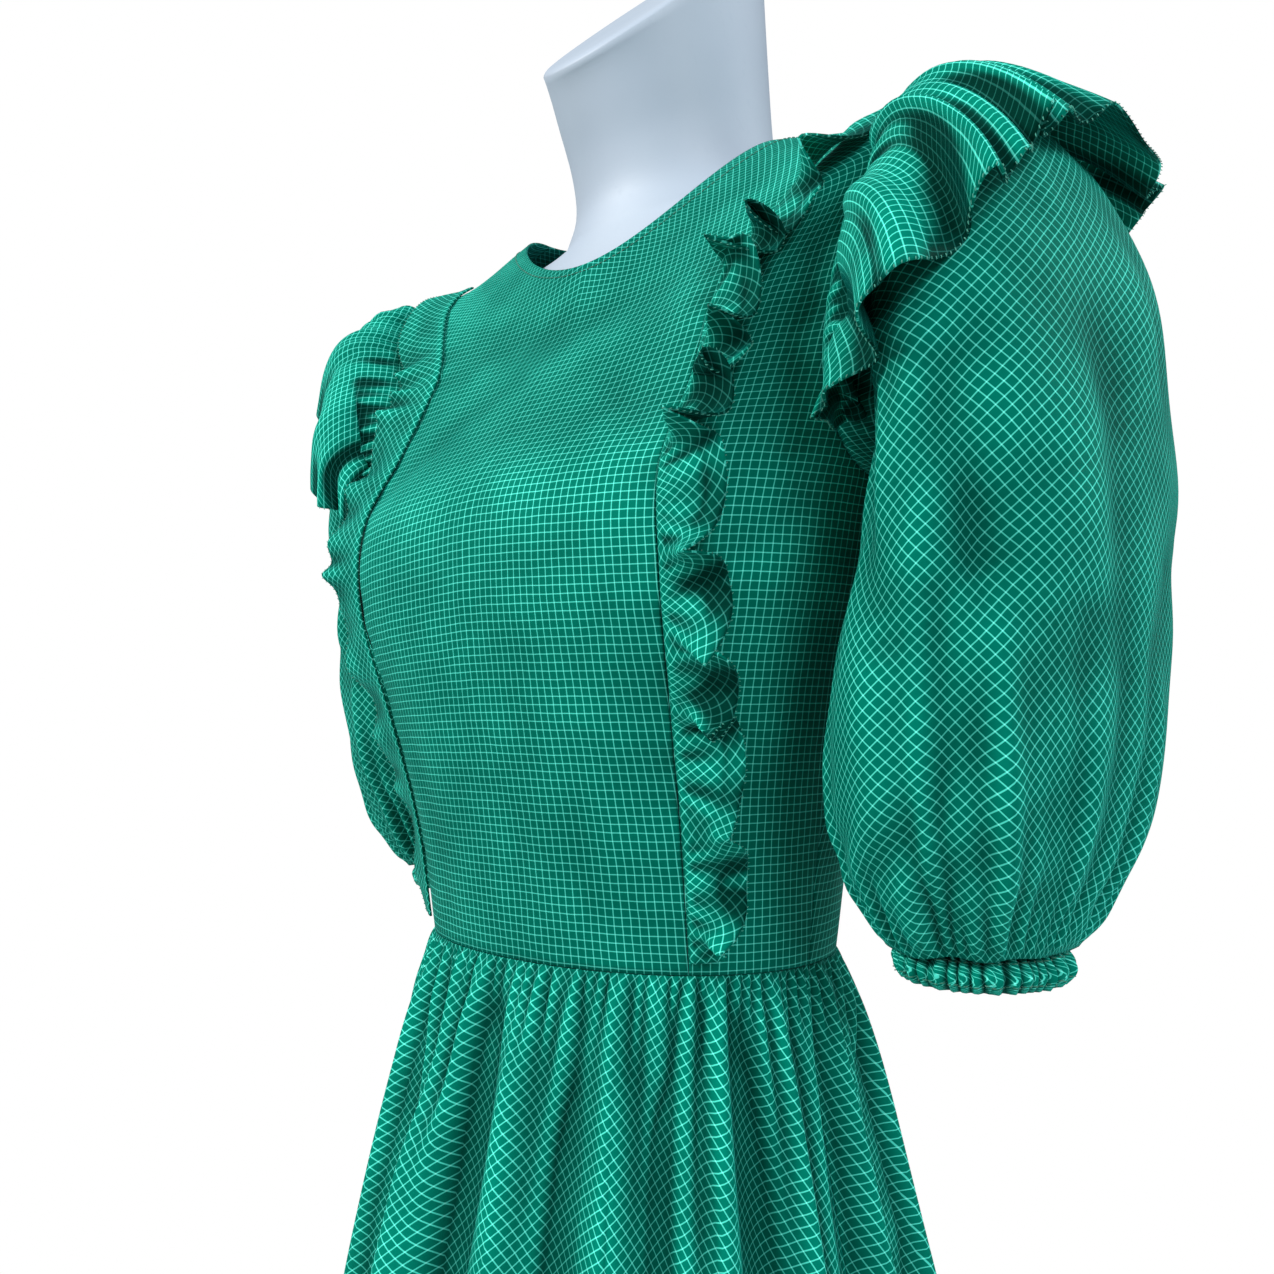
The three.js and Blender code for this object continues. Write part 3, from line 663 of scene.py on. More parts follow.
@dataclass(frozen=True)
class CheckCotton:
    """Green cotton with a fine windowpane check of pale yarns.

    Attributes:
        name: Name of the material.
        ground: Colour of the squares.
        line: Colour where a pale yarn crosses green ones.
        cross: Colour where two pale yarns cross.
        share: Width of a line as a share of the pitch.
    """

    name: str = "Windowpane cotton"
    ground: Colour = (0.0003, 0.142, 0.097, 1)
    line: Colour = (0.06, 0.58, 0.46, 1)
    cross: Colour = (0.2, 0.82, 0.7, 1)
    share: float = 0.09

    def material(self, effects: Effects) -> bpy.types.Material:
        """Builds the material from the shared groups."""
        made, n = new_material(self.name)
        uv = n.add("ShaderNodeUVMap", uv_map="Cloth").outputs[0]
        pane = n.add("ShaderNodeGroup", {}, node_tree=effects.windowpane)
        n.link(uv, pane.inputs["Map"])
        pane.inputs["Line"].default_value = self.share
        weave = n.add("ShaderNodeGroup", {}, node_tree=effects.weave)
        n.link(uv, weave.inputs["Map"])
        either = n.math("MAXIMUM", pane.outputs["Warp"], pane.outputs["Weft"])
        lined = n.mix(either, self.ground, self.line)
        crossed = n.mix(pane.outputs["Cross"], lined, self.cross)
        # Painted shade in the fold troughs and painted light on the ridges: the fold mask scales the colour's
        # value, along with the weave's random tone.
        fold = n.add("ShaderNodeAttribute", attribute_name="Fold").outputs["Fac"]
        depth = n.ramp(fold, -0.9, 0.7, 0.2, 1.3)
        shade = n.math("MULTIPLY", weave.outputs["Shade"], depth)
        shaded = n.add("ShaderNodeHueSaturation", {"Value": shade, "Color": crossed})
        rough = n.ramp(weave.outputs["Shade"], 0.86, 1.12, 0.6, 0.48)
        height = weave.outputs["Height"]
        bump = n.add("ShaderNodeBump", {"Strength": 0.35, "Distance": 0.00012, "Height": height})
        n.surface(
            {
                "Base Color": shaded.outputs[0],
                "Roughness": rough,
                "Normal": bump.outputs[0],
                "Specular IOR Level": 0.03,
                "Specular Tint": (0.02, 0.85, 0.75, 1),
                "Sheen Weight": 0.16,
                "Sheen Roughness": 0.35,
                "Sheen Tint": (0.0, 0.8, 0.68, 1),
            }
        )
        return made


@dataclass(frozen=True)
class Thread:
    """Sewing thread or tape with a slight sheen.

    Attributes:
        name: Name of the material.
        colour: Its colour.
        rough: Roughness.
    """

    name: str
    colour: Colour
    rough: float = 0.55

    def material(self, effects: Effects) -> bpy.types.Material:
        """Builds the material."""
        made, n = new_material(self.name)
        marks = n.add("ShaderNodeGroup", {}, node_tree=effects.rub)
        dark = tuple(c * 0.7 for c in self.colour[:3]) + (1,)
        colour = n.mix(marks.outputs["Cloud"], self.colour, dark)
        height = marks.outputs["Scuff"]
        bump = n.add("ShaderNodeBump", {"Strength": 0.3, "Distance": 0.0001, "Height": height})
        n.surface(
            {"Base Color": colour, "Roughness": self.rough, "Normal": bump.outputs[0], "Sheen Weight": 0.2}
        )
        return made


@dataclass(frozen=True)
class Hard:
    """Hard finish: moulded plastic, enamel or brushed metal.

    Attributes:
        name: Name of the finish.
        colour: Base colour.
        worn: Colour of its soft clouds.
        smooth: Roughness where it is cleanest.
        dull: Roughness where it is rubbed.
        metal: Metallic value.
        coat: Weight of a clear coat.
        brushed: Whether fine lines run round it.
    """

    name: str
    colour: Colour
    worn: Colour
    smooth: float
    dull: float
    metal: float = 0.0
    coat: float = 0.0
    brushed: bool = False

    def material(self, effects: Effects) -> bpy.types.Material:
        """Builds the material."""
        made, n = new_material(self.name)
        marks = n.add("ShaderNodeGroup", {}, node_tree=effects.rub)
        colour = n.mix(marks.outputs["Cloud"], self.colour, self.worn)
        rough = n.ramp(marks.outputs["Scuff"], 0.0, 1.0, self.smooth, self.dull)
        height = marks.outputs["Scuff"]
        if self.brushed:
            coords = n.add("ShaderNodeTexCoord")
            stretch = n.add(
                "ShaderNodeMapping", {"Vector": coords.outputs["Object"], "Scale": (40, 40, 2600)}
            )
            lines = n.add(
                "ShaderNodeTexNoise", {"Vector": stretch.outputs[0], "Scale": 1.0, "Detail": 4.0}
            )
            height = n.math("ADD", height, lines.outputs[0])
        bump = n.add("ShaderNodeBump", {"Strength": 0.12, "Distance": 0.0002, "Height": height})
        n.surface(
            {
                "Base Color": colour,
                "Roughness": rough,
                "Metallic": self.metal,
                "Coat Weight": self.coat,
                "Coat Roughness": 0.2,
                "Normal": bump.outputs[0],
            }
        )
        return made


@dataclass
class Finishes:
    """All materials of the part, made once.

    Attributes:
        effects: Shader groups that the materials share.
    """

    effects: Effects = field(default_factory=Effects)

    def __post_init__(self) -> None:
        """Builds each finish."""
        e = self.effects
        self.cotton = CheckCotton().material(e)
        self.thread = Thread("Green thread", (0.01, 0.17, 0.11, 1)).material(e)
        self.pale_thread = Thread("Overlock thread", (0.03, 0.33, 0.24, 1)).material(e)
        self.tape = Thread("Woven tape", (0.006, 0.11, 0.07, 1), 0.8).material(e)
        self.enamel = Hard(
            "Green enamel", (0.008, 0.12, 0.08, 1), (0.01, 0.09, 0.06, 1), 0.3, 0.5, 0.3
        ).material(e)
        self.form = Hard(
            "Moulded form", (0.42, 0.49, 0.58, 1), (0.38, 0.45, 0.545, 1), 0.55, 0.65
        ).material(e)
        self.pole = Hard(
            "Brushed pole", (0.62, 0.62, 0.63, 1), (0.55, 0.55, 0.56, 1), 0.24, 0.4, 1.0, brushed=True
        ).material(e)
        self.plate = Hard(
            "Brushed plate", (0.6, 0.6, 0.61, 1), (0.52, 0.52, 0.53, 1), 0.3, 0.46, 1.0
        ).material(e)


# Bodice


@dataclass
class Torso:
    """Surface of the bodice's inner face, by ring from the waist, 0, to the neck, 9, and turn from the front.

    Attributes:
        rings: Heights at front, side and back, half width, depths, side point's set-back and squareness.
        neck: Ring at the neck edge.
    """

    rings: Table = Table(
        ("ring", "zf", "zs", "zb", "a", "bf", "bb", "ys", "n"),
        (
            (0, 0, 0, 0, 112, 80, 88, 0, 2.1),
            (1, 58, 58, 58, 118, 87, 95, 2, 2.25),
            (2, 116, 116, 116, 131, 97, 103, 2, 2.5),
            (3, 172, 170, 172, 148, 104, 111, 2, 2.9),
            (4, 214, 214, 225, 156, 101, 116, 3, 2.8),
            (5, 252, 268, 285, 160, 76, 119, 8, 2.5),
            (6, 285, 325, 340, 168, 54, 118, 14, 2.3),
            (7, 309, 372, 385, 180, 37, 118, 20, 2.1),
            (8, 330, 389, 411, 134, 29, 115, 31, 2.0),
            (9, 349, 403, 424, 89, 24, 109, 34, 2.0),
        ),
    )
    neck: float = 9.0

    def __post_init__(self) -> None:
        """Measures the surface once, for reading lengths of cloth from it."""
        self._ring = np.linspace(0, self.neck, 181)
        self._turn = np.linspace(0, 180, 181)
        p = self.point(self._turn[None, :], self._ring[:, None])
        self._girth = arc(p, 1)
        self._rise = arc(p, 0)

    def point(self, turn: np.ndarray, ring: np.ndarray) -> np.ndarray:
        """Points of the surface.

        Args:
            turn: Degrees from the centre front, positive to the wearer's left.
            ring: Ring numbers.

        Returns:
            Points in mm.
        """
        turn, ring = np.broadcast_arrays(np.asarray(turn, float), np.asarray(ring, float))
        g = {name: self.rings.at(name, ring) for name in self.rings.columns[1:]}
        c, s = np.cos(turn * DEG), np.sin(turn * DEG)
        e = 2 / g["n"]
        front = c > 0
        reach = np.where(front, -(g["bf"] + g["ys"]), g["bb"] - g["ys"])
        end = np.where(front, g["zf"], g["zb"])
        x = g["a"] * powered(s, e)
        y = g["ys"] + reach * np.abs(c) ** e
        return np.stack([x, y, WAIST + g["zs"] + (end - g["zs"]) * c * c], axis=-1)

    def normal(self, turn: np.ndarray, ring: np.ndarray) -> np.ndarray:
        """Outward normals of the surface."""
        low, high = np.maximum(0, ring - 0.04), np.minimum(self.neck, ring + 0.04)
        across = self.point(turn + 0.6, ring) - self.point(turn - 0.6, ring)
        return unit(np.cross(across, self.point(turn, high) - self.point(turn, low)))

    def off(self, turn: np.ndarray, ring: np.ndarray, out: np.ndarray | float) -> np.ndarray:
        """Points moved out from the surface by a distance in mm."""
        out = np.asarray(out, float)
        return self.point(turn, ring) + self.normal(turn, ring) * out[..., None]

    def _read(self, table: np.ndarray, turn: np.ndarray, ring: np.ndarray) -> np.ndarray:
        """Reads a measured table between its points."""
        turn, ring = np.broadcast_arrays(np.abs(np.asarray(turn, float)), np.asarray(ring, float))
        r = np.clip(ring / self.neck * 180, 0, 179.999)
        t = np.clip(turn, 0, 179.999)
        i, j = r.astype(int), t.astype(int)
        u, v = r - i, t - j
        low = table[i, j] * (1 - v) + table[i, j + 1] * v
        high = table[i + 1, j] * (1 - v) + table[i + 1, j + 1] * v
        return low * (1 - u) + high * u

    def girth(self, turn: np.ndarray, ring: np.ndarray) -> np.ndarray:
        """Length of cloth round from the centre front, signed, mm."""
        return np.sign(turn) * self._read(self._girth, turn, ring)

    def rise(self, turn: np.ndarray, ring: np.ndarray) -> np.ndarray:
        """Length of cloth up from the waist, mm."""
        return self._read(self._rise, turn, ring)

    def spaced(self, low: float, high: float, count: int) -> np.ndarray:
        """Ring numbers an even length apart, measured at the front panel's side."""
        length = self.rise(np.full(181, 40.0), self._ring)
        wanted = np.linspace(np.interp(low, self._ring, length), np.interp(high, self._ring, length), count)
        return np.interp(wanted, length, self._ring)


@dataclass
class Bodice:
    """Centre front, side fronts and backs, with their seams.

    Attributes:
        torso: Surface that they lie on.
        princess_seam: Angle of the seam between centre and side front, by ring.
        mid: Ring at the armhole's middle.
        half: Rings from there to the armhole's top.
        front: Degrees that the armhole is cut into the front.
        back: Degrees that it is cut into the back.
        seam_end: Ring where the princess seam ends in the shoulder.
        creases: Main folds, placed by angle and ring.
    """

    torso: Torso
    princess_seam: Table = Table(
        ("ring", "angle"),
        (
            (0, 50),
            (1, 47.5),
            (2, 43),
            (3, 36.5),
            (4, 34),
            (5, 34.5),
            (6, 33),
            (6.7, 35),
            (7.2, 43),
            (7.6, 60),
            (8, 88),
        ),
    )
    mid: float = 5.5
    half: float = 1.5
    front: float = 25.0
    back: float = 27.0
    seam_end: float = 8.0
    creases: tuple[Crease, ...] = (
        Crease((31, 4.3), (12, 5.6), 13, -1.4),
        Crease((33, 3.5), (20, 2.2), 11, -1.1),
        Crease((-31, 4.3), (-12, 5.5), 13, -1.4),
        Crease((33, 5.4), (24, 7.2), 12, 1.6),
        Crease((25, 0.2), (20, 1.7), 9, -0.9),
        Crease((-22, 0.2), (-26, 1.9), 10, -1.0),
        Crease((4, 0.15), (8, 1.1), 8, -0.7),
        Crease((62, 1.4), (44, 2.6), 10, -1.3),
        Crease((72, 3.9), (52, 3.1), 12, -2.0),
        Crease((60, 4.9), (50, 6.6), 9, -1.8),
        Crease((-62, 1.4), (-46, 2.5), 10, -1.3),
        Crease((-72, 3.9), (-52, 3.2), 12, -2.0),
        Crease((120, 4.4), (140, 3.2), 14, -1.6),
        Crease((-118, 4.4), (-142, 3.1), 14, -1.7),
        Crease((150, 0.4), (160, 2.4), 12, -1.5),
        Crease((-148, 0.4), (-158, 2.2), 12, -1.4),
        Crease((128, 6.2), (150, 7.4), 13, -1.4),
        Crease((-126, 6.2), (-151, 7.5), 13, -1.5),
    )

    def princess(self, ring: np.ndarray) -> np.ndarray:
        """Angle of the princess seam, and of the shoulder line where it has ended."""
        return np.where(ring >= self.seam_end, 90.0, self.princess_seam.at("angle", ring))

    def armhole_angle(self, ring: np.ndarray, front: bool) -> np.ndarray:
        """Angle of the armhole's edge, or of the side line away from it."""
        t = (ring - self.mid) / self.half
        span = self.front if front else -self.back
        return 90 - span * np.sqrt(np.maximum(0, 1 - t * t))

    def armhole(self, turn: np.ndarray, out: np.ndarray | float, grow: np.ndarray | float) -> np.ndarray:
        """Points of the armhole.

        Args:
            turn: Degrees from the shoulder, 90 at the front and 180 under the arm.
            out: Distance out from the bodice, mm.
            grow: Distance away from the armhole's middle, mm.

        Returns:
            Points in mm, for the left side.
        """
        c, s = np.cos(turn * DEG), np.sin(turn * DEG)
        ring = self.mid + self.half * c
        angle = 90 - np.where(s > 0, self.front, self.back) * s
        p = self.torso.off(angle, ring, out)
        n = self.torso.normal(angle, ring)
        away = p - self.torso.off(np.full_like(angle, 90.0), np.full_like(angle, self.mid), out)
        away = unit(away - (away * n).sum(-1, keepdims=True) * n)
        return p + away * np.asarray(grow, float)[..., None]

    def _inset(self, edge: np.ndarray, ring: np.ndarray) -> np.ndarray:
        """Half of the seam gap, in degrees."""
        degree = self.torso.point(edge + 0.5, ring) - self.torso.point(edge - 0.5, ring)
        per_degree = np.linalg.norm(degree, axis=-1)
        slope = np.gradient(edge, ring) * per_degree
        climb = np.linalg.norm(np.gradient(self.torso.point(edge * 0 + 60, ring), ring, axis=0), axis=-1)
        slant = climb / np.sqrt(climb**2 + slope**2)
        return 0.55 * SEAM_GAP / np.maximum(per_degree * np.maximum(slant, 0.25), 0.05)

    def panel(
        self,
        name: str,
        rings: np.ndarray,
        left: np.ndarray,
        right: np.ndarray,
        across: int,
        zero: float,
        side: Side,
    ) -> Sheet:
        """One panel between two edges.

        Args:
            name: Name of the piece.
            rings: Ring numbers of its rows.
            left: Angle of its first edge at each row.
            right: Angle of its last edge.
            across: Number of steps across.
            zero: Angle along which its grain runs.
            side: Side of the wearer.

        Returns:
            The panel.
        """
        ring = np.clip(rings, 0.004, self.torso.neck)[:, None]
        gap_left = np.where(left % 180 == 0, 0, self._inset(left, rings))
        gap_right = self._inset(right, rings)
        a, b = (left + gap_left)[:, None], (right - gap_right)[:, None]
        turn = a + (b - a) * np.linspace(0, 1, across + 1)[None, :]
        ring = np.broadcast_to(ring, turn.shape)
        base = self.torso.point(turn, ring)
        normal = self.torso.normal(turn, ring)
        u = self.torso.girth(turn, ring) - self.torso.girth(np.full_like(turn, zero), ring)
        v = self.torso.rise(turn, ring)
        out = CLOTH / 2 + self.relief(base, turn, ring, u, v, side)
        points = base + normal * out[..., None]
        points[..., 0] *= side.value
        pattern = np.stack([u * side.value, v], axis=-1)
        return Sheet(name, points, pattern, core=BODICE_CORE, fold_shade_strength=0.3)

    def relief(
        self, base: np.ndarray, turn: np.ndarray, ring: np.ndarray, u: np.ndarray, v: np.ndarray, side: Side
    ) -> np.ndarray:
        """Height of the creases and of the puckers along the seams, mm."""
        total = 0.22 * waver(u, v, 70, 5 + side.value) * ease(0, 0.5, ring) * ease(9, 8.4, ring)
        for crease in self.creases:
            (t0, r0), (t1, r1) = crease.start, crease.end
            if turn.min() > 0:
                t0, t1 = t0 * side.value, t1 * side.value
            if t0 < turn.min() - 12 or t0 > turn.max() + 12:
                continue
            a = self.torso.point(np.array(t0), np.array(r0))
            b = self.torso.point(np.array(t1), np.array(r1))
            total = total + crease.relief(base, a, b)
        seam = np.abs(np.abs(turn) - self.princess(ring)) * 1.9
        pucker = np.sin(v / 4.3 + 1.1 * np.sin(v / 13.0)) * np.exp(-seam / 7.0)
        return np.maximum(total, -1.9) + 0.28 * pucker * ease(0.1, 0.6, ring)

    def sheets(self) -> list[tuple[Sheet, str]]:
        """All five panels with the solids that they stand for."""
        rings = np.unique(np.concatenate([self.torso.spaced(0, 9, 120), [7.0, 8.0]]))
        low = np.unique(np.concatenate([self.torso.spaced(0, 7.9, 120), [4.0, 7.0]]))
        high = np.unique(np.concatenate([self.torso.spaced(0, 9, 130), [4.0, 7.0]]))
        edge, start, end = self.princess(rings), self.princess(low), self.armhole_angle(low, True)
        arm, middle = self.armhole_angle(high, False), np.full_like(high, 180.0)
        centre = self.panel("centre_front_cloth", rings, -edge, edge, 150, 0.0, Side.LEFT)
        made = [(centre, "bodice_front_centre")]
        for side in Side:
            word = side.name.lower()
            front = self.panel(f"side_front_cloth_{word}", low, start, end, 56, 62.0, side)
            back = self.panel(f"back_cloth_{word}", high, arm, middle, 84, 180.0, side)
            made += [(front, f"bodice_side_front_{word}"), (back, f"bodice_back_{word}")]
        return made


# Sleeves


@dataclass
class Sleeve:
    """Puff sleeve with its casing and the ruffle over its head.

    Attributes:
        bodice: Bodice whose armhole it is set in.
        side: Side of the wearer.
        sections: Outer point, inner point, front and back reach at each section below the armhole.
        air: Distance that the sleeve keeps from the bodice, mm.
        lip: Distance of its first section from the armhole seam, mm.
        cuff_top: Height of the casing's upper edge over the waist, mm.
        cuff_bottom: Height of its lower edge.
        far_hang: Shift of the right sleeve against the left one, across and back, mm.
        square: Power of its outline, under 1 for a squarer one.
        uneven: Height of the broad unevenness, mm.
        strength: Factor on the creases' heights.
        creases: Main folds, placed by turn and section.
    """

    bodice: Bodice
    side: Side
    sections: Table = Table(
        ("k", "xo", "zo", "xi", "zi", "yf", "yb"),
        (
            (1, 189, 371, 168, 211, -40, 66),
            (2, 210, 361, 172, 202, -62, 94),
            (3, 234, 339, 169, 186, -74, 110),
            (4, 251, 304, 164, 166, -80, 116),
            (5, 258, 256, 159, 144, -82, 118),
            (6, 259, 202, 152, 120, -82, 118),
            (7, 258, 145, 146, 94, -79, 114),
            (8, 253, 92, 143, 70, -71, 105),
            (9, 245, 58, 146, 50, -58, 88),
            (10, 235, 33, 151, 31, -44, 64),
            (11, 228, 19, 156, 19, -33, 46),
        ),
    )
    air: float = 3.5
    lip: float = 2.0
    cuff_top: float = 18.0
    cuff_bottom: float = 7.0
    far_hang: tuple[float, float] = (-20.0, 34.0)
    square: float = 0.92
    uneven: float = 1.6
    strength: float = 1.25
    creases: tuple[Crease, ...] = (
        Crease((88, 1.2), (30, 6.0), 21, 7.0),
        Crease((100, 1.6), (56, 6.6), 14, -7.5),
        Crease((62, 1.3), (10, 5.6), 14, -7.0),
        Crease((36, 1.3), (-6, 5.2), 18, 5.5),
        Crease((14, 1.4), (-16, 5.0), 14, -5.0),
        Crease((122, 2.2), (96, 6.4), 13, -5.5),
        Crease((112, 1.5), (84, 4.0), 10, 5.0),
        Crease((76, 4.6), (40, 8.2), 13, -4.0),
        Crease((20, 5.2), (2, 8.0), 16, -3.5),
        Crease((24, 7.0), (46, 10.8), 12, -6.5),
        Crease((46, 6.8), (62, 10.8), 11, 5.0),
        Crease((76, 6.5), (79, 10.8), 10, -6.5),
        Crease((4, 7.4), (12, 10.8), 11, -5.0),
        Crease((100, 6.8), (98, 10.8), 10, 4.0),
        Crease((-16, 6.6), (-8, 10.6), 12, -4.5),
        Crease((-34, 1.6), (-52, 6.0), 17, 5.0),
        Crease((-54, 2.4), (-66, 8.0), 15, -5.5),
        Crease((-90, 5.0), (-86, 9.6), 14, 4.5),
        Crease((-112, 4.0), (-108, 9.0), 14, -4.5),
        Crease((140, 5.0), (136, 9.4), 12, 3.0),
    )

    def hang(self, p: np.ndarray, k: np.ndarray) -> np.ndarray:
        """Moves points with the way that this sleeve hangs."""
        shift = (0.0, 0.0) if self.side is Side.LEFT else self.far_hang
        q = np.clip((np.asarray(k, float) - 1) / 3, 0, 1)
        return p + np.stack([shift[0] * q, shift[1] * q, 0 * q], axis=-1)

    def point(self, k: np.ndarray, turn: np.ndarray) -> np.ndarray:
        """Points of the sleeve before its folds, on the left side.

        Args:
            k: Section number, 0 at the armhole.
            turn: Degrees round it, 0 outward, 90 at the front.

        Returns:
            Points in mm.
        """
        k, turn = np.broadcast_arrays(np.asarray(k, float), np.asarray(turn, float))
        lip = self.bodice.armhole(turn, CLOTH + SEAM_GAP + 0.3 + np.where(k < 0, 0, self.lip), CLOTH / 2)
        at = np.maximum(k, 1)
        g = {name: self.sections.at(name, at) for name in self.sections.columns[1:]}
        outer = np.stack([g["xo"], 0 * at, WAIST + g["zo"]], axis=-1)
        inner = np.stack([g["xi"], 0 * at, WAIST + g["zi"]], axis=-1)
        c, s = powered(np.cos(turn * DEG), self.square), powered(np.sin(turn * DEG), self.square)
        p = (outer + inner) / 2 + (outer - inner) / 2 * c[..., None]
        p[..., 1] = (g["yf"] + g["yb"]) / 2 - (g["yb"] - g["yf"]) / 2 * s
        t = np.clip(k, 0, 1)[..., None]
        return self.hang(lip * (1 - t) + p * t, k)

    def normal(self, k: np.ndarray, turn: np.ndarray) -> np.ndarray:
        """Outward normals of the sleeve before its folds."""
        run = self.point(k + 0.15, turn) - self.point(k - 0.15, turn)
        round_ = self.point(k, turn + 3) - self.point(k, turn - 3)
        n = unit(np.cross(run, round_))
        middle = self.hang(np.array(SLEEVE_MIDDLE), np.asarray(k, float))
        facing = np.sign(((self.point(k, turn) - middle) * n).sum(-1, keepdims=True))
        return n * facing

    def beside(self, p: np.ndarray) -> np.ndarray:
        """Least X at which a point is clear of the bodice, mm."""
        rings = self.bodice.torso.rings
        z = p[..., 2] - WAIST
        height = Table(("zs", "ring"), tuple((row[2], row[0]) for row in rings.rows))
        ring = height.at("ring", np.clip(z, 0, 403))
        deep = np.where(p[..., 1] < 0, rings.at("bf", ring), rings.at("bb", ring)) + CLOTH + self.air
        n = rings.at("n", ring)
        q = np.abs(p[..., 1]) / deep
        wide = (rings.at("a", ring) + CLOTH + self.air) * np.maximum(0, 1 - np.minimum(q, 1) ** n) ** (1 / n)
        return np.where((z > 216) | (q >= 1), 0, wide)

    def body(self) -> Sheet:
        """The sleeve itself, gathered into the armhole and the casing."""
        count = 230
        turn = np.linspace(-180, 180, count + 1)[None, :]
        k = np.concatenate([[-1.0], np.linspace(0, 1, 9), np.linspace(1, 11, 106)[1:]])[:, None]
        base = self.point(k, turn)
        k2, turn2 = np.broadcast_arrays(k, turn)
        centre = base[:, :-1].mean(1, keepdims=True)
        normal = unit(grid_normals(base[:, :-1], True))
        normal = np.concatenate([normal, normal[:, :1]], axis=1)
        facing = np.sign(((base - centre) * normal).sum(-1, keepdims=True))
        normal = normal * facing
        down = arc(base, 0)
        length = down[-1].mean()
        girth = arc(base, 1)
        from_top = down - down[1:2]
        from_cuff = down[-1:] - down
        seed = 11 if self.side is Side.LEFT else 23
        head = Gathers(58, 60, 4.6, seed=seed, rise=7)
        head = head.relief(turn2 + 180, np.maximum(from_top, 0), 360, True)
        foot = Gathers(46, 70, 6.4, seed=seed + 1, rise=6, spread=1.4)
        foot = foot.relief(turn2 + 180, from_cuff, 360, True)
        folds = head * ease(0.0, 1.0, k2) + foot * ease(0, 6, from_cuff)
        for crease in self.creases:
            a = self.point(np.array(crease.start[1]), np.array(crease.start[0]))
            b = self.point(np.array(crease.end[1]), np.array(crease.end[0]))
            folds = folds + self.strength * crease.relief(base, a, b)
        uneven = self.uneven * waver(girth, down, 90, seed + 2)
        folds = folds + uneven * ease(0, 60, from_top) * ease(0, 40, from_cuff)
        points = base + normal * (folds * ease(0.0, 0.9, k2))[..., None]
        need = self.beside(points)
        keep = (k2 >= 1) & (np.cos(turn2 * DEG) < 0.2)
        points[..., 0] = np.where(keep, np.maximum(points[..., 0], need), points[..., 0])
        points = points[:, :-1]
        front = np.argmin(np.abs(turn[0] - 55))
        widest = int(np.argmin(np.abs(k[:, 0] - 6)))
        across = np.linalg.norm(np.diff(base[widest, :, :2], axis=0), axis=1)
        across = np.concatenate([[0], np.cumsum(across)])
        level = base[widest, :, 2] + down[widest] - down
        flat_x = np.broadcast_to(across - across[front], level.shape) * self.side.value
        pattern = np.stack([flat_x, level - level.min()], axis=-1)
        points[..., 0] *= self.side.value
        LOG.info("sleeve %s: %.0f mm long", self.side.name, length)
        name = f"sleeve_cloth_{self.side.name.lower()}"
        return Sheet(name, points, pattern, Grain.BIAS.value, WALL, True, fold_shade_strength=0.22)

    def casing(self) -> Sheet:
        """Narrow casing drawn in by elastic at the sleeve's edge."""
        count = 220
        turn = np.linspace(-180, 180, count + 1)[None, :]
        v = np.linspace(0, 1, 15)[:, None]
        last = {name: self.sections.column(name)[-1] for name in self.sections.columns}
        seed = 31 if self.side is Side.LEFT else 37
        foot = 12 if self.side is Side.LEFT else 24
        top = Gathers(46, 60, 5.2, seed=foot, rise=1.0, spread=1.4).relief(turn + 180, 4 + 0 * v, 360, True)
        low = Gathers(52, 8, 3.4, seed=seed + 1, rise=1.5).relief(turn + 180, v * 12, 360, True)
        r = -6.4 + 3.4 * np.sin(math.pi * np.clip(v * 1.15, 0, 1)) + 0.9 * top + 1.1 * low
        x = (last["xo"] + last["xi"]) / 2 + ((last["xo"] - last["xi"]) / 2 + r) * np.cos(turn * DEG)
        y = (last["yf"] + last["yb"]) / 2 - ((last["yb"] - last["yf"]) / 2 + r) * np.sin(turn * DEG)
        z = WAIST + self.cuff_bottom - 1 + (self.cuff_top + 3 - self.cuff_bottom) * v + 0.8 * low * (1 - v)
        points = self.hang(np.stack(np.broadcast_arrays(x, y, z), axis=-1), np.full(x.shape, 11.0))
        pattern = np.stack([arc(points, 1) * self.side.value, arc(points, 0)], axis=-1)
        points = points[:, :-1]
        points[..., 0] *= self.side.value
        return Sheet(f"casing_cloth_{self.side.name.lower()}", points, pattern, Grain.BIAS.value, WALL, True)


def ruffle_waves(q: np.ndarray, waves: int, seed: float) -> tuple[np.ndarray, np.ndarray]:
    """Uneven waves along a ruffle.

    Args:
        q: Place along the ruffle, 0 to 1.
        waves: Number of waves.
        seed: Shift that sets one ruffle's waves apart from another's.

    Returns:
        The waves' phase in turns, and their height from about 0 to 1.
    """
    phase = q * waves + 0.22 * np.sin(q * waves * 1.9 + seed)
    swell = 0.5 - 0.5 * np.cos(ROUND * phase) * (0.82 + 0.18 * np.sin(q * 17 + seed))
    return phase, swell


def strip_pattern(points: np.ndarray, side: Side) -> np.ndarray:
    """Flat cut of a ruffle: a straight strip, as long as the ruffle's mean edge with some gathering."""
    down = arc(points, 0)
    along = (arc(points, 1).mean(0, keepdims=True) * RUFFLE_FULLNESS + 0 * down) * side.value
    return np.stack([along, -down], axis=-1)


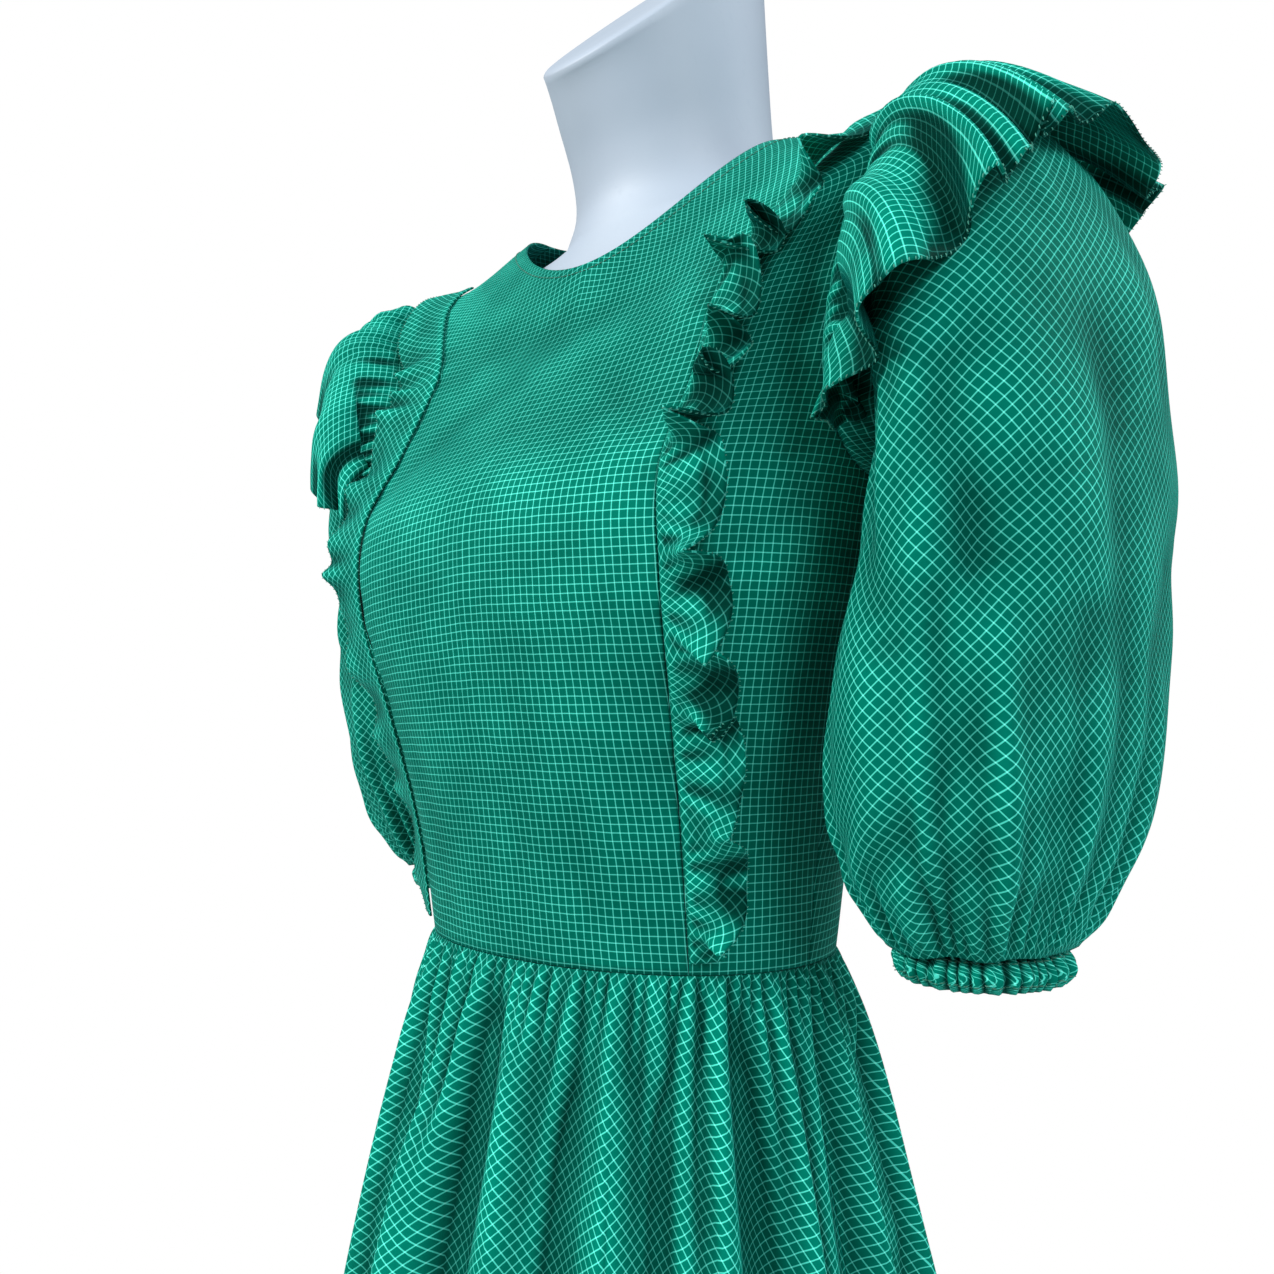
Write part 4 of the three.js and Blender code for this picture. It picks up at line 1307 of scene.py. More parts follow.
@dataclass
class HeadRuffle:
    """Gathered ruffle in the armhole seam, standing over the sleeve's head.

    Attributes:
        sleeve: Sleeve that it lies over.
        rows: By turn round the armhole, the sections that it reaches over, what share of them on the right
            side, how far its edge stands off, and the waves' height.
        dents: Single deep folds, by turn, width in degrees and depth, mm.
        waves: Number of waves.
        clear: Least distance off the sleeve, mm.
        sway: Height of the waves off the sleeve at the edge, on the left and the right, mm.
        curl: Height of the small waves at the edge, mm.
        roll: How far the waves lean along the ruffle, mm.
        dip: How far the edge sinks over the shoulder, mm.
        far_stand: How high the right one stands, as a share of the left one.
        far_dents: Depth of the right one's single folds, as a share of the left one's.
    """

    sleeve: Sleeve
    rows: Table = Table(
        ("turn", "reach", "short", "lift", "wave"),
        (
            (-125, 1.6, 1, 3, 5),
            (-90, 2.1, 0.9, 4, 5),
            (-50, 2.8, 0.8, 10, 5),
            (-15, 3.5, 0.72, 17, 8),
            (20, 3.5, 0.72, 12, 9),
            (60, 3.9, 0.9, 6, 14),
            (95, 3.5, 1, 2, 15),
            (118, 2.8, 1, 3, 11),
            (132, 1.9, 1, 4, 7),
        ),
    )
    dents: tuple[tuple[float, float, float], ...] = ((62, 7, 13), (30, 6, 8), (99, 6, 9), (-24, 7, 6))
    waves: int = 9
    clear: float = 4.2
    sway: tuple[float, float] = (12.0, 9.0)
    curl: float = 3.5
    roll: float = 5.5
    dip: float = 7.0
    far_stand: float = 0.45
    far_dents: float = 0.6

    def sheet(self) -> Sheet:
        """The ruffle as cloth."""
        sleeve, side = self.sleeve, self.sleeve.side
        left = side is Side.LEFT
        stand = 1.0 if left else self.far_stand
        q = np.linspace(0, 1, 301)[None, :]
        turn = self.rows.rows[0][0] + (self.rows.rows[-1][0] - self.rows.rows[0][0]) * q
        reach, lift, wave = (self.rows.at(name, turn) for name in ("reach", "lift", "wave"))
        reach = reach * (1.0 if left else self.rows.at("short", turn))
        seed = 1.3 if left else 3.1
        phase, swell = ruffle_waves(q, self.waves, seed)
        f = np.linspace(0.06, 1, 26)[:, None]
        k = f * reach
        base = sleeve.point(k, np.broadcast_to(turn, k.shape))
        normal = sleeve.normal(k, np.broadcast_to(turn, k.shape))
        axis = sleeve.hang(np.array(SLEEVE_MIDDLE), np.array(2.0))
        away = base - axis
        away[..., 0] *= np.minimum(1, k / 3)
        away = unit(away)
        arch = np.sin(math.pi * np.minimum(1, k / 3)) * 4
        clear = CLOTH / 2 + SEAM_GAP + RUFFLE / 2 + self.clear + 3.6 * np.minimum(1, k) + arch
        fine = Gathers(44, 46, 4.6, seed=41 + side.value, rise=4)
        fine = fine.relief(q * 300, f * reach * 17, 300, False)
        curl = f**3 * self.curl * np.sin(ROUND * (phase * 2 + 0.3)) * stand
        sway = 0.6 * np.sin(ROUND * phase) + 0.4 * np.sin(ROUND * phase * 2.37 + seed)
        sway = np.where(sway < 0, sway * 0.6, sway) * f**1.3 * self.sway[0 if left else 1]
        tame = np.sin(math.pi * q) ** 0.5
        dip = self.dip * f * f * ease(30, 0, np.abs(turn - 5)) * stand
        sway = sway * tame * (0.25 + 0.75 * ease(0, 50, turn)) - dip
        for middle, wide, deep in self.dents:
            deep = deep * (1 if left else self.far_dents)
            sway = sway - deep * f * np.exp(-(((turn - middle) / wide) ** 2))
        curl = curl * tame
        p = base + normal * (clear + fine * (1 - 0.6 * f * f) + sway)[..., None]
        p = p + away * (f * f * stand * (lift + wave * swell) + curl)[..., None]
        roll = f**2 * self.roll * tame * np.sin(ROUND * phase)
        roll = unit(np.gradient(base, axis=1)) * roll[..., None]
        p = p + roll * min(1.0, stand * 1.4)
        seam = CLOTH + SEAM_GAP
        root = [
            sleeve.bodice.armhole(turn[0], seam + 0.3 + j * 2.5, seam + RUFFLE / 2 + 0.5 + j * 1.5)
            for j in (0.0, 0.5, 1.0)
        ]
        p = np.concatenate([np.stack(root), p])
        for _ in range(2):
            p[2:-1] = (p[1:-2] + 2 * p[2:-1] + p[3:]) / 4
        pattern = strip_pattern(p, side)
        p[..., 0] *= side.value
        name = f"head_ruffle_cloth_{side.name.lower()}"
        return Sheet(name, p, pattern, Grain.STRAIGHT.value, RUFFLE_WALL)


@dataclass(frozen=True)
class Flutter:
    """How lively a princess ruffle's waves are.

    Attributes:
        lift: Share of the stated slope that it stands at.
        swing: Change of the slope along a wave, degrees.
        tip: Height of the small waves at its edge, mm.
        lean: Share of its width that the waves lean along the seam.
        lean_growth: What that share grows by toward the edge.
        passes: Smoothing passes along it.
    """

    lift: float
    swing: float
    tip: float
    lean: float
    lean_growth: float
    passes: int


@dataclass
class FrontRuffle:
    """Gathered ruffle in the princess seam, standing off the side front.

    Attributes:
        bodice: Bodice whose seam it is in.
        side: Side of the wearer.
        rows: Width and slope off the panel at places along the seam.
        waves: Number of waves.
        near: Waves of the left one.
        far: Calmer waves of the right one.
    """

    bodice: Bodice
    side: Side
    rows: Table = Table(
        ("ring", "width", "lift"),
        (
            (0.1, 14, 35),
            (0.6, 26, 40),
            (2, 31, 45),
            (3, 32, 48),
            (5, 33, 50),
            (7, 30, 40),
            (7.85, 25, 26),
        ),
    )
    waves: int = 11
    near: Flutter = Flutter(0.75, 48.0, 2.2, 0.16, 0.1, 0)
    far: Flutter = Flutter(0.3, 19.0, 0.8, 0.05, 0.0, 24)

    def sheet(self) -> Sheet:
        """The ruffle as cloth."""
        torso = self.bodice.torso
        left = self.side is Side.LEFT
        flutter = self.near if left else self.far
        q = np.linspace(0, 1, 341)
        ring = self.rows.rows[0][0] + (self.rows.rows[-1][0] - self.rows.rows[0][0]) * q
        turn = self.bodice.princess_seam.at("angle", ring)
        run = unit(np.gradient(torso.point(turn, ring), axis=0))
        n = torso.normal(turn, ring)
        out = unit(np.cross(run, n))
        root = torso.off(turn, ring, np.full_like(ring, CLOTH + SEAM_GAP + RUFFLE / 2 + 0.2)) + out
        width = self.rows.at("width", ring)
        mean = self.rows.at("lift", ring)
        seed = 0.5 if left else 2.6
        phase, swell = ruffle_waves(q, self.waves, seed)
        pleats = Gathers(64, 17, 2.1, seed=61 + self.side.value, rise=2.5)
        along = q * 470
        drift = 0.5 * np.sin(ROUND * phase * 0.37 + seed) + 0.5 * np.sin(ROUND * phase * 1.61 + 2 * seed)
        ripple = np.sin(ROUND * phase * 3.4 + 1.3 * np.sin(q * 31))
        rows = []
        for f in np.linspace(0, 1, 19):
            tilt = (swell - 0.5 + 0.35 * drift) * flutter.swing * min(1, f * 1.4)
            slope = (mean * flutter.lift + tilt) * DEG
            reach = f * width * (1 + 0.12 * drift)
            fine = 1.1 * math.sin(math.pi * min(1, f * 1.5)) * ripple
            tip = f**3 * flutter.tip * np.sin(ROUND * phase * 2 + 0.8)
            crimp = pleats.relief(along, np.full_like(along, 1 + 30 * f), 470, False)
            crimp = np.maximum(crimp, -1.2) * min(1, f * 6)
            rise = reach * np.sin(np.maximum(0.12, slope)) + (0.6 if f > 0 else 0) + (fine + tip) * f
            p = root + out * (reach * np.cos(slope))[:, None] + n * (crimp + rise)[:, None]
            sideways = reach * (flutter.lean + flutter.lean_growth * f)
            p = p + run * (sideways * np.sin(ROUND * phase + 0.4 * self.side.value))[:, None]
            rows.append(p)
        p = np.stack(rows)
        for _ in range(flutter.passes):
            p[:, 1:-1] = (p[:, :-2] + 2 * p[:, 1:-1] + p[:, 2:]) / 4
        pattern = strip_pattern(p, self.side)
        p[..., 0] *= self.side.value
        name = f"front_ruffle_cloth_{self.side.name.lower()}"
        return Sheet(name, p, pattern, Grain.BIAS.value, RUFFLE_WALL, core=BODICE_CORE)


# Skirt


@dataclass
class Skirt:
    """Flared skirt gathered into the waist: front, and two backs with the zip between them.

    Attributes:
        rows: Outline by depth under the waist, with the height of large folds.
        folds: Turns of the large folds' crests.
        length: Length of the skirt, mm.
        waist: Mean radius at the waist, mm.
        back_flat: Degrees at each side of the zip without folds.
        flare: Angle of the flat cut that a quarter of the skirt takes, in degrees.
        full: Gathered fullness at the waist.
        deep: Main folds, placed by turn and depth.
    """

    rows: Table = Table(
        ("drop", "a", "bf", "bb", "fold"),
        (
            (0, 112, 80, 88, 0),
            (10, 114, 84, 91, 1),
            (35, 118, 91, 97, 3),
            (90, 128, 104, 108, 6),
            (180, 146, 125, 127, 8),
            (340, 177, 157, 157, 11),
            (540, 212, 192, 192, 14),
            (740, 244, 224, 224, 16),
        ),
    )
    folds: tuple[float, ...] = (10, 33, 55, 76, 98, 121, 143, 164, 193, 216, 238, 260, 282, 305, 327, 348)
    length: float = 740.0
    waist: float = 98.0
    back_flat: float = 7.0
    flare: float = 21.0
    full: float = 1.35
    deep: tuple[Crease, ...] = (
        Crease((-1, 12), (-3, 720), 9, -9.0),
        Crease((-11, 40), (-16, 740), 14, 5.0),
        Crease((22, 30), (20, 500), 12, -5.0),
        Crease((44, 14), (48, 420), 10, -4.0),
        Crease((66, 30), (66, 640), 14, -5.0),
        Crease((-28, 20), (-30, 700), 12, -5.0),
        Crease((-52, 20), (-50, 600), 12, -5.0),
        Crease((-74, 12), (-80, 560), 11, -5.0),
        Crease((112, 20), (116, 680), 13, -5.0),
        Crease((138, 20), (134, 560), 12, -5.0),
        Crease((156, 14), (150, 700), 12, -5.0),
        Crease((-110, 20), (-114, 650), 13, -5.0),
        Crease((-136, 20), (-130, 600), 12, -5.0),
        Crease((-158, 14), (-152, 690), 12, -5.0),
    )

    def wave(self, turn: np.ndarray) -> np.ndarray:
        """Height of the large folds, from -1 in the valleys to 1 on the crests."""
        t = np.mod(turn, 360)
        crests = np.array([self.folds[-1] - 360, *self.folds, self.folds[0] + 360])
        i = np.clip(np.searchsorted(crests, t, side="right") - 1, 0, len(crests) - 2)
        q = (t - crests[i]) / (crests[i + 1] - crests[i])
        return np.cos(ROUND * q) * (0.8 + 0.2 * np.sin((i % len(self.folds)) * 2.3))

    def folded(self, turn: np.ndarray) -> np.ndarray:
        """Share of the folds' height at each turn: 0 beside the zip and 1 elsewhere."""
        return np.clip((np.abs(np.mod(turn, 360) - 180) - self.back_flat) / 10, 0, 1)

    def point(self, turn: np.ndarray, drop: np.ndarray, out: np.ndarray | float) -> np.ndarray:
        """Points of the skirt.

        Args:
            turn: Degrees from the centre front.
            drop: Depth under the waist, mm.
            out: Distance out, mm.

        Returns:
            Points in mm.
        """
        turn, drop = np.broadcast_arrays(np.asarray(turn, float), np.asarray(drop, float))
        g = {name: self.rows.at(name, drop) for name in self.rows.columns[1:]}
        r = g["fold"] * self.wave(turn) * self.folded(turn) + out
        c, s = np.cos(turn * DEG), np.sin(turn * DEG)
        e = 2 / 2.1
        x = g["a"] * powered(s, e) + r * s
        y = -np.where(c > 0, g["bf"], g["bb"]) * powered(c, e) - r * c
        return np.stack([x, y, WAIST - SEAM_GAP - 0.1 - drop], axis=-1)

    def piece(self, name: str, start: float, end: float, across: int) -> Sheet:
        """One piece of the skirt between two turns.

        Args:
            name: Name of the piece.
            start: First turn, degrees.
            end: Last turn.
            across: Number of steps.

        Returns:
            The piece.
        """
        t = np.linspace(0, 1, 131)[::-1][:, None]
        drop = self.length * t**1.35
        cut = 0.62 * SEAM_GAP / (100 + 0.2 * drop) / DEG
        turn = start + cut + (end - start - 2 * cut) * np.linspace(0, 1, across + 1)[None, :]
        turn, drop = np.broadcast_arrays(turn, drop)
        small = Gathers(112, 34, 5.4, width=0.28, seed=51, rise=4, spread=1.4)
        small = small.relief(turn + 180, drop, 360, True)
        long = Gathers(40, 230, 14.0, width=0.27, seed=52, rise=18, spread=0.7)
        long = long.relief(turn + 180, drop, 360, True)
        signed = np.mod(turn + 180, 360) - 180
        uneven = 1.8 * waver(signed * 2.4, drop, 260, 9) * ease(60, 300, drop)
        out = (small + long + uneven) * self.folded(turn)
        for crease in self.deep:
            (first, top), (last, low) = crease.start, crease.end
            centre = first + (last - first) * ease(0, self.length, drop)
            off = (np.mod(turn - centre + 180, 360) - 180) * (100 + 0.18 * drop) * DEG
            grow = ease(0, 60, drop - top) * (1 - ease(low - 140, low + 60, drop))
            wide = crease.width * (0.45 + 0.55 * ease(0, 400, drop))
            out = out + 2.2 * crease.height * grow * np.exp(-((off / wide) ** 2))
        deepest = -3.2 - 2.8 * ease(45, 0, drop) - 0.08 * np.maximum(0, drop - 130)
        points = self.point(turn, drop, np.maximum(out, deepest) + CLOTH / 2)
        slant = np.sqrt(drop**2 + (0.18 * drop) ** 2)
        angle = turn / 90 * self.flare * DEG
        radius = self.waist * math.pi / 2 * self.full / (self.flare * DEG) + slant
        pattern = np.stack([radius * np.sin(angle), -radius * np.cos(angle)], axis=-1)
        return Sheet(name, points, pattern, Grain.BIAS.value, WALL, core=(0.0, 0.0), fold_shade_strength=0.4)

    def sheets(self) -> list[tuple[Sheet, str]]:
        """The three pieces with the solids that they stand for."""
        return [
            (self.piece("skirt_front_cloth", -90, 90, 250), "skirt_front"),
            (self.piece("skirt_back_cloth_left", 90, 180, 130), "skirt_back_left"),
            (self.piece("skirt_back_cloth_right", 180, 270, 130), "skirt_back_right"),
        ]


# Sewing


@dataclass
class StitchRow:
    """A row of stitches along a line.

    Attributes:
        name: Name of the row.
        length: Length of a stitch, mm.
        gap: Gap between two stitches, mm.
        radius: Radius of the thread, mm.
        slant: Angle of each stitch to the line, degrees, as in an overlocked edge.
    """

    name: str
    length: float = 2.3
    gap: float = 0.6
    radius: float = 0.24
    slant: float = 0.0

    def build(self, lines: Sequence[tuple[np.ndarray, np.ndarray]]) -> bpy.types.Object:
        """Makes one joined mesh of all stitches.

        Args:
            lines: Pairs of points and outward normals, mm.

        Returns:
            The new object.
        """
        verts: list[np.ndarray] = []
        faces: list[np.ndarray] = []
        ring = np.arange(6) * math.pi / 3
        for points, normals in lines:
            run = np.concatenate([[0], np.cumsum(np.linalg.norm(np.diff(points, axis=0), axis=1))])
            count = int(run[-1] / (self.length + self.gap))
            for i in range(count):
                middle = (i + 0.5) * run[-1] / count
                p = np.array([np.interp(middle, run, points[:, a]) for a in range(3)])
                n = unit(np.array([np.interp(middle, run, normals[:, a]) for a in range(3)]))
                j = min(np.searchsorted(run, middle), len(points) - 1)
                d = unit(points[j] - points[j - 1])
                side = np.cross(n, d)
                d = unit(d * math.cos(self.slant * DEG) + side * math.sin(self.slant * DEG))
                side = unit(np.cross(n, d))
                start = sum(len(v) for v in verts)
                for t, r in ((-1, 0.35), (-0.55, 1), (0.55, 1), (1, 0.35)):
                    lift = self.radius * (0.9 if abs(t) < 0.9 else 0.0)
                    centre = p + d * (t * self.length / 2) + n * lift
                    circle = np.cos(ring)[:, None] * side + np.sin(ring)[:, None] * n
                    verts.append(centre + circle * self.radius * r)
                for level in range(3):
                    a = start + level * 6 + np.arange(6)
                    b = start + level * 6 + (np.arange(6) + 1) % 6
                    faces.append(np.stack([a, b, b + 6, a + 6], axis=1))
                faces.append(start + np.array([[0, 5, 4, 3], [0, 3, 2, 1]]))
                faces.append(start + 18 + np.array([[0, 1, 2, 3], [0, 3, 4, 5]]))
        mesh = bpy.data.meshes.new(self.name)
        mesh.from_pydata((np.concatenate(verts) * MM).tolist(), [], np.concatenate(faces).tolist())
        mesh.polygons.foreach_set("use_smooth", [True] * len(mesh.polygons))
        mesh.update()
        return linked(self.name, mesh)


@dataclass
class Sewing:
    """Rows of stitches on the finished dress.

    Attributes:
        finishes: Materials.
        lift: How far a stitch's root lies above the cloth's face, mm.
    """

    finishes: Finishes
    lift: float = 0.05

    def row(self, sheet: Sheet, index: int, face: int = 1) -> tuple[np.ndarray, np.ndarray]:
        """A line along one row of a sheet's face.

        Args:
            sheet: Piece that it runs on.
            index: Row number, from the end where it is negative.
            face: 1 for the face along the grid's normals, -1 for the other.

        Returns:
            Points and normals.
        """
        normals = grid_normals(sheet.points, sheet.closed) * face
        points = sheet.points + normals * (sheet.thick / 2 + self.lift)
        line, out = points[index], normals[index]
        if sheet.closed:
            line, out = np.concatenate([line, line[:1]]), np.concatenate([out, out[:1]])
        return line, out

    def build(self, sheets: dict[str, Sheet]) -> None:
        """Sews the neck edge, the casings, the ruffles' edges and the hem."""
        f = self.finishes
        neck = [self.row(sheets["centre_front_cloth"], -3)]
        neck += [self.row(sheets[f"back_cloth_{s.name.lower()}"], -3, face=s.value) for s in Side]
        place(StitchRow("neck_stitching").build(neck), f.thread, "check_cotton")
        casing = []
        for s in Side:
            sheet = sheets[f"casing_cloth_{s.name.lower()}"]
            casing += [self.row(sheet, 11, face=-s.value), self.row(sheet, 3, face=-s.value)]
        place(StitchRow("casing_stitching", 2.2, 0.8).build(casing), f.thread, "check_cotton")
        edges = []
        for s in Side:
            for kind in ("front_ruffle_cloth", "head_ruffle_cloth"):
                edges.append(self.row(sheets[f"{kind}_{s.name.lower()}"], -1))
        overlock = StitchRow("ruffle_overlock", 1.6, 1.3, 0.2, 60)
        place(overlock.build(edges), f.pale_thread, "check_cotton")
        hem = [self.row(sheet, 2) for name, sheet in sheets.items() if name.startswith("skirt")]
        place(StitchRow("hem_stitching", 3.0, 0.9).build(hem), f.thread, "check_cotton")


# Form, stand and zip


@dataclass
class DressForm:
    """Smooth limbless form inside the bodice, with a plain cut neck.

    Attributes:
        torso: Surface of the bodice.
        ease: Distance from the bodice's inner face, mm.
        foot: Radii and heights over the waist of the sections under the bodice, mm.
        neck: Middle, radii and tilt of the neck's sections.
        rim: Rounding of the neck's cut end, mm.
    """

    torso: Torso
    ease: float = 4.5
    foot: tuple[tuple[float, float, float], ...] = (
        (0.01, 0.01, -120),
        (106, 82, -120),
        (113, 89, -118.5),
        (116, 92, -114),
        (110, 84, -60),
        (104, 76, -12),
    )
    neck: Table = Table(
        ("row", "y", "z", "rx", "ry", "tilt"),
        (
            (0, 48, 394, 68, 56, 16),
            (1, 49, 412, 60, 54, 15),
            (2, 46, 436, 58, 56, 17),
            (3, 38, 474, 60, 59, 28),
            (4, 30, 519, 62, 62, 44),
        ),
    )
    rim: float = 3.0

    def build(self) -> bpy.types.Object:
        """Makes the form as one closed smooth body."""
        turn = np.linspace(0, 360, 161)[:-1]
        signed = np.where(turn > 180, turn - 360, turn)
        s, c = np.sin(turn * DEG), np.cos(turn * DEG)
        rings = []
        for a, b, z in self.foot:
            rings.append(np.stack([a * s, -b * c, WAIST + z + 0 * s], axis=-1))
        for ring in np.linspace(0.15, 8, 48):
            rings.append(self.torso.off(signed, np.full_like(signed, ring), -self.ease))
        for row in np.linspace(0, 4, 22):
            g = {name: float(self.neck.at(name, row)) for name in self.neck.columns[1:]}
            rings.append(self._neck_ring(g, s, c, 0, 0))
        for turn_in in np.linspace(0, math.pi / 2, 5)[1:]:
            shrink, up = self.rim * (1 - math.cos(turn_in)), self.rim * math.sin(turn_in)
            rings.append(self._neck_ring(g, s, c, shrink, up))
        almost_closed = 57.9
        rings.append(self._neck_ring(g, s, c, almost_closed, self.rim))
        return lofted("dress_form", np.stack(rings))

    def _neck_ring(
        self, g: dict[str, float], s: np.ndarray, c: np.ndarray, shrink: float, up: float
    ) -> np.ndarray:
        """One section of the neck.

        Args:
            g: Values of the neck's table at this height.
            s: Sines of the turns.
            c: Their cosines.
            shrink: How much smaller its radii are, mm.
            up: How much higher it lies, mm.

        Returns:
            Points in mm.
        """
        y = -(g["ry"] - shrink) * c
        z = WAIST + g["z"] - self.rim + up + y * math.tan(g["tilt"] * DEG)
        return np.stack([(g["rx"] - shrink) * s, g["y"] + y, z], axis=-1)


def lofted(name: str, rings: np.ndarray) -> bpy.types.Object:
    """Closed body through rings of points, its two ends capped.

    Args:
        name: Name of the object.
        rings: Rings by points by 3, mm.

    Returns:
        The new object.
    """
    rows, cols = rings.shape[:2]
    r, c = np.meshgrid(np.arange(rows - 1), np.arange(cols), indexing="ij")
    r, c = r.ravel(), c.ravel()
    d = (c + 1) % cols
    faces = np.stack([r * cols + c, r * cols + d, (r + 1) * cols + d, (r + 1) * cols + c], axis=1)
    faces = faces.tolist()
    faces.append(list(range(cols))[::-1])
    faces.append([(rows - 1) * cols + i for i in range(cols)])
    mesh = bpy.data.meshes.new(name)
    mesh.from_pydata((rings.reshape(-1, 3) * MM).tolist(), [], faces)
    smooth = [True] * (len(faces) - 2) + [False, False]
    mesh.polygons.foreach_set("use_smooth", smooth)
    mesh.update()
    return linked(name, mesh)


@dataclass
class Stand:
    """Pole, socket and round base.

    Attributes:
        pole: Radius of the pole, mm.
        base: Radius of the base, mm.
        plate: Thickness of the base, mm.
        socket: Radius of the socket, mm.
        socket_top: Height of the socket, mm.
        form_bottom: Height of the form's underside over the waist, mm.
    """

    pole: float = 12.5
    base: float = 190.0
    plate: float = 12.0
    socket: float = 24.0
    socket_top: float = 46.0
    form_bottom: float = -120.0

    def turned(self, name: str, profile: Sequence[tuple[float, float]], around: int) -> bpy.types.Object:
        """Body turned about the pole's axis from pairs of radius and height."""
        t = np.linspace(0, ROUND, around + 1)[:-1]
        rings = [np.stack([r * np.cos(t), r * np.sin(t), z + 0 * t], axis=-1) for r, z in profile]
        return lofted(name, np.stack(rings))

    def build(self, finishes: Finishes) -> None:
        """Makes and dresses the three parts."""
        top = WAIST + self.form_bottom - SEAM_GAP
        low = self.plate + SEAM_GAP
        pole = [(self.pole - 1, low), (self.pole, low + 1), (self.pole, top - 1), (self.pole - 1, top)]
        place(self.turned("stand_pole", pole, 64), finishes.pole, "brushed_pole", ["form_pole"])
        s, t = self.socket, self.socket_top
        socket = [
            (self.pole + SEAM_GAP, low),
            (s - 1, low),
            (s, low + 1),
            (s, t - 9),
            (s - 0.8, t - 8.4),
            (s - 0.8, t - 7.6),
            (s, t - 7),
            (s, t - 6),
            (self.pole + 5, t - 0.8),
            (self.pole + 4, t),
            (self.pole + SEAM_GAP, t),
        ]
        ring = self.turned("stand_socket", socket, 72)
        place(ring, finishes.pole, "brushed_pole", ["form_socket"])
        b, h = self.base, self.plate
        plate = [(b - 1.2, 0), (b, 1.2), (b, h - 3.6), (b - 0.5, h - 2.2)]
        plate += [(b - 1.6, h - 0.9), (b - 3.4, h - 0.2), (b - 5, h)]
        place(self.turned("stand_base", plate, 160), finishes.plate, "brushed_base", ["form_base"])


@dataclass
class Zip:
    """Concealed zip at the centre back: tape inside, slider and pull tab outside.

    Attributes:
        bodice: Bodice that it is sewn to.
        bevel: Rounding of the slider's and tab's edges, mm.
        half: Half width of the closed tapes, mm.
        thick: Thickness of the tape, mm.
    """

    bodice: Bodice
    bevel: float = 0.35
    half: float = 10.0
    thick: float = 0.7

    def tape(self) -> Sheet:
        """The two tapes, closed, as one strip behind the seam from the skirt up to the neck."""
        torso = self.bodice.torso
        u = np.linspace(-1, 1, 13)[None, :]
        drop = np.linspace(180, 1, 30)[:, None]
        ring = np.linspace(0.05, 8.93, 96)[:, None]
        low = Skirt().point(180, drop, 0)
        flat = torso.point(180 + 0 * ring, ring)
        step = np.abs(torso.point(178 + 0 * ring, ring)[..., 0]) / 2
        bent = torso.point(180 - np.abs(u) * self.half / step, ring + 0 * u)
        y = np.concatenate([low[..., 1] - 0.8 * np.abs(u), np.minimum(flat[..., 1], bent[..., 1])])
        z = np.concatenate([low[..., 2], flat[..., 2]]) + 0 * u
        p = np.stack([self.half * u + 0 * y, y, z], axis=-1)
        p[..., 1] -= SEAM_GAP + 0.95
        pattern = np.stack([p[..., 0], arc(p, 0)], axis=-1)
        return Sheet("zip_tape_cloth", p, pattern, 0.0, self.thick)

    def chain(self, tape: Sheet) -> bpy.types.Object:
        """The closed chain of teeth along the middle of the tape's inner face."""
        inward = np.tile([0.0, -1.0, 0.0], (len(tape.points), 1))
        line = tape.points[:, 6] + inward * (self.thick / 2 + 0.03)
        return StitchRow("zip_chain", 3.4, -1.8, 0.38, 90).build([(line, inward)])

    def rounded(self, node: str, name: str) -> bpy.types.Object:
        """Copy of a solid with its edges rounded."""
        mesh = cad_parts[node].data.copy()
        mesh.name = name
        made = linked(name, mesh)
        bpy.context.view_layer.objects.active = made
        weld = made.modifiers.new("Weld", "WELD")
        weld.merge_threshold = 1e-5
        bevel = made.modifiers.new("Round", "BEVEL")
        bevel.width = self.bevel * MM
        bevel.segments = 3
        bevel.angle_limit = 35 * DEG
        for modifier in list(made.modifiers):
            with bpy.context.temp_override(object=made, active_object=made):
                bpy.ops.object.modifier_apply(modifier=modifier.name)
        made.data.polygons.foreach_set("use_smooth", [True] * len(made.data.polygons))
        return made

    def build(self, finishes: Finishes) -> None:
        """Makes the tape with its chain, and slider and tab with rounded edges."""
        tape = self.tape()
        made = place(tape.build(), finishes.tape, "zip_tape", ["zip_tape"])
        place(self.chain(tape), finishes.enamel, "zip_tape")
        place(self.rounded("zip_slider", "slider"), finishes.enamel, "zip_metal", ["zip_slider"])
        place(self.rounded("zip_pull", "pull_tab"), finishes.enamel, "zip_metal", ["zip_pull"], "zip_pull")


# Studio


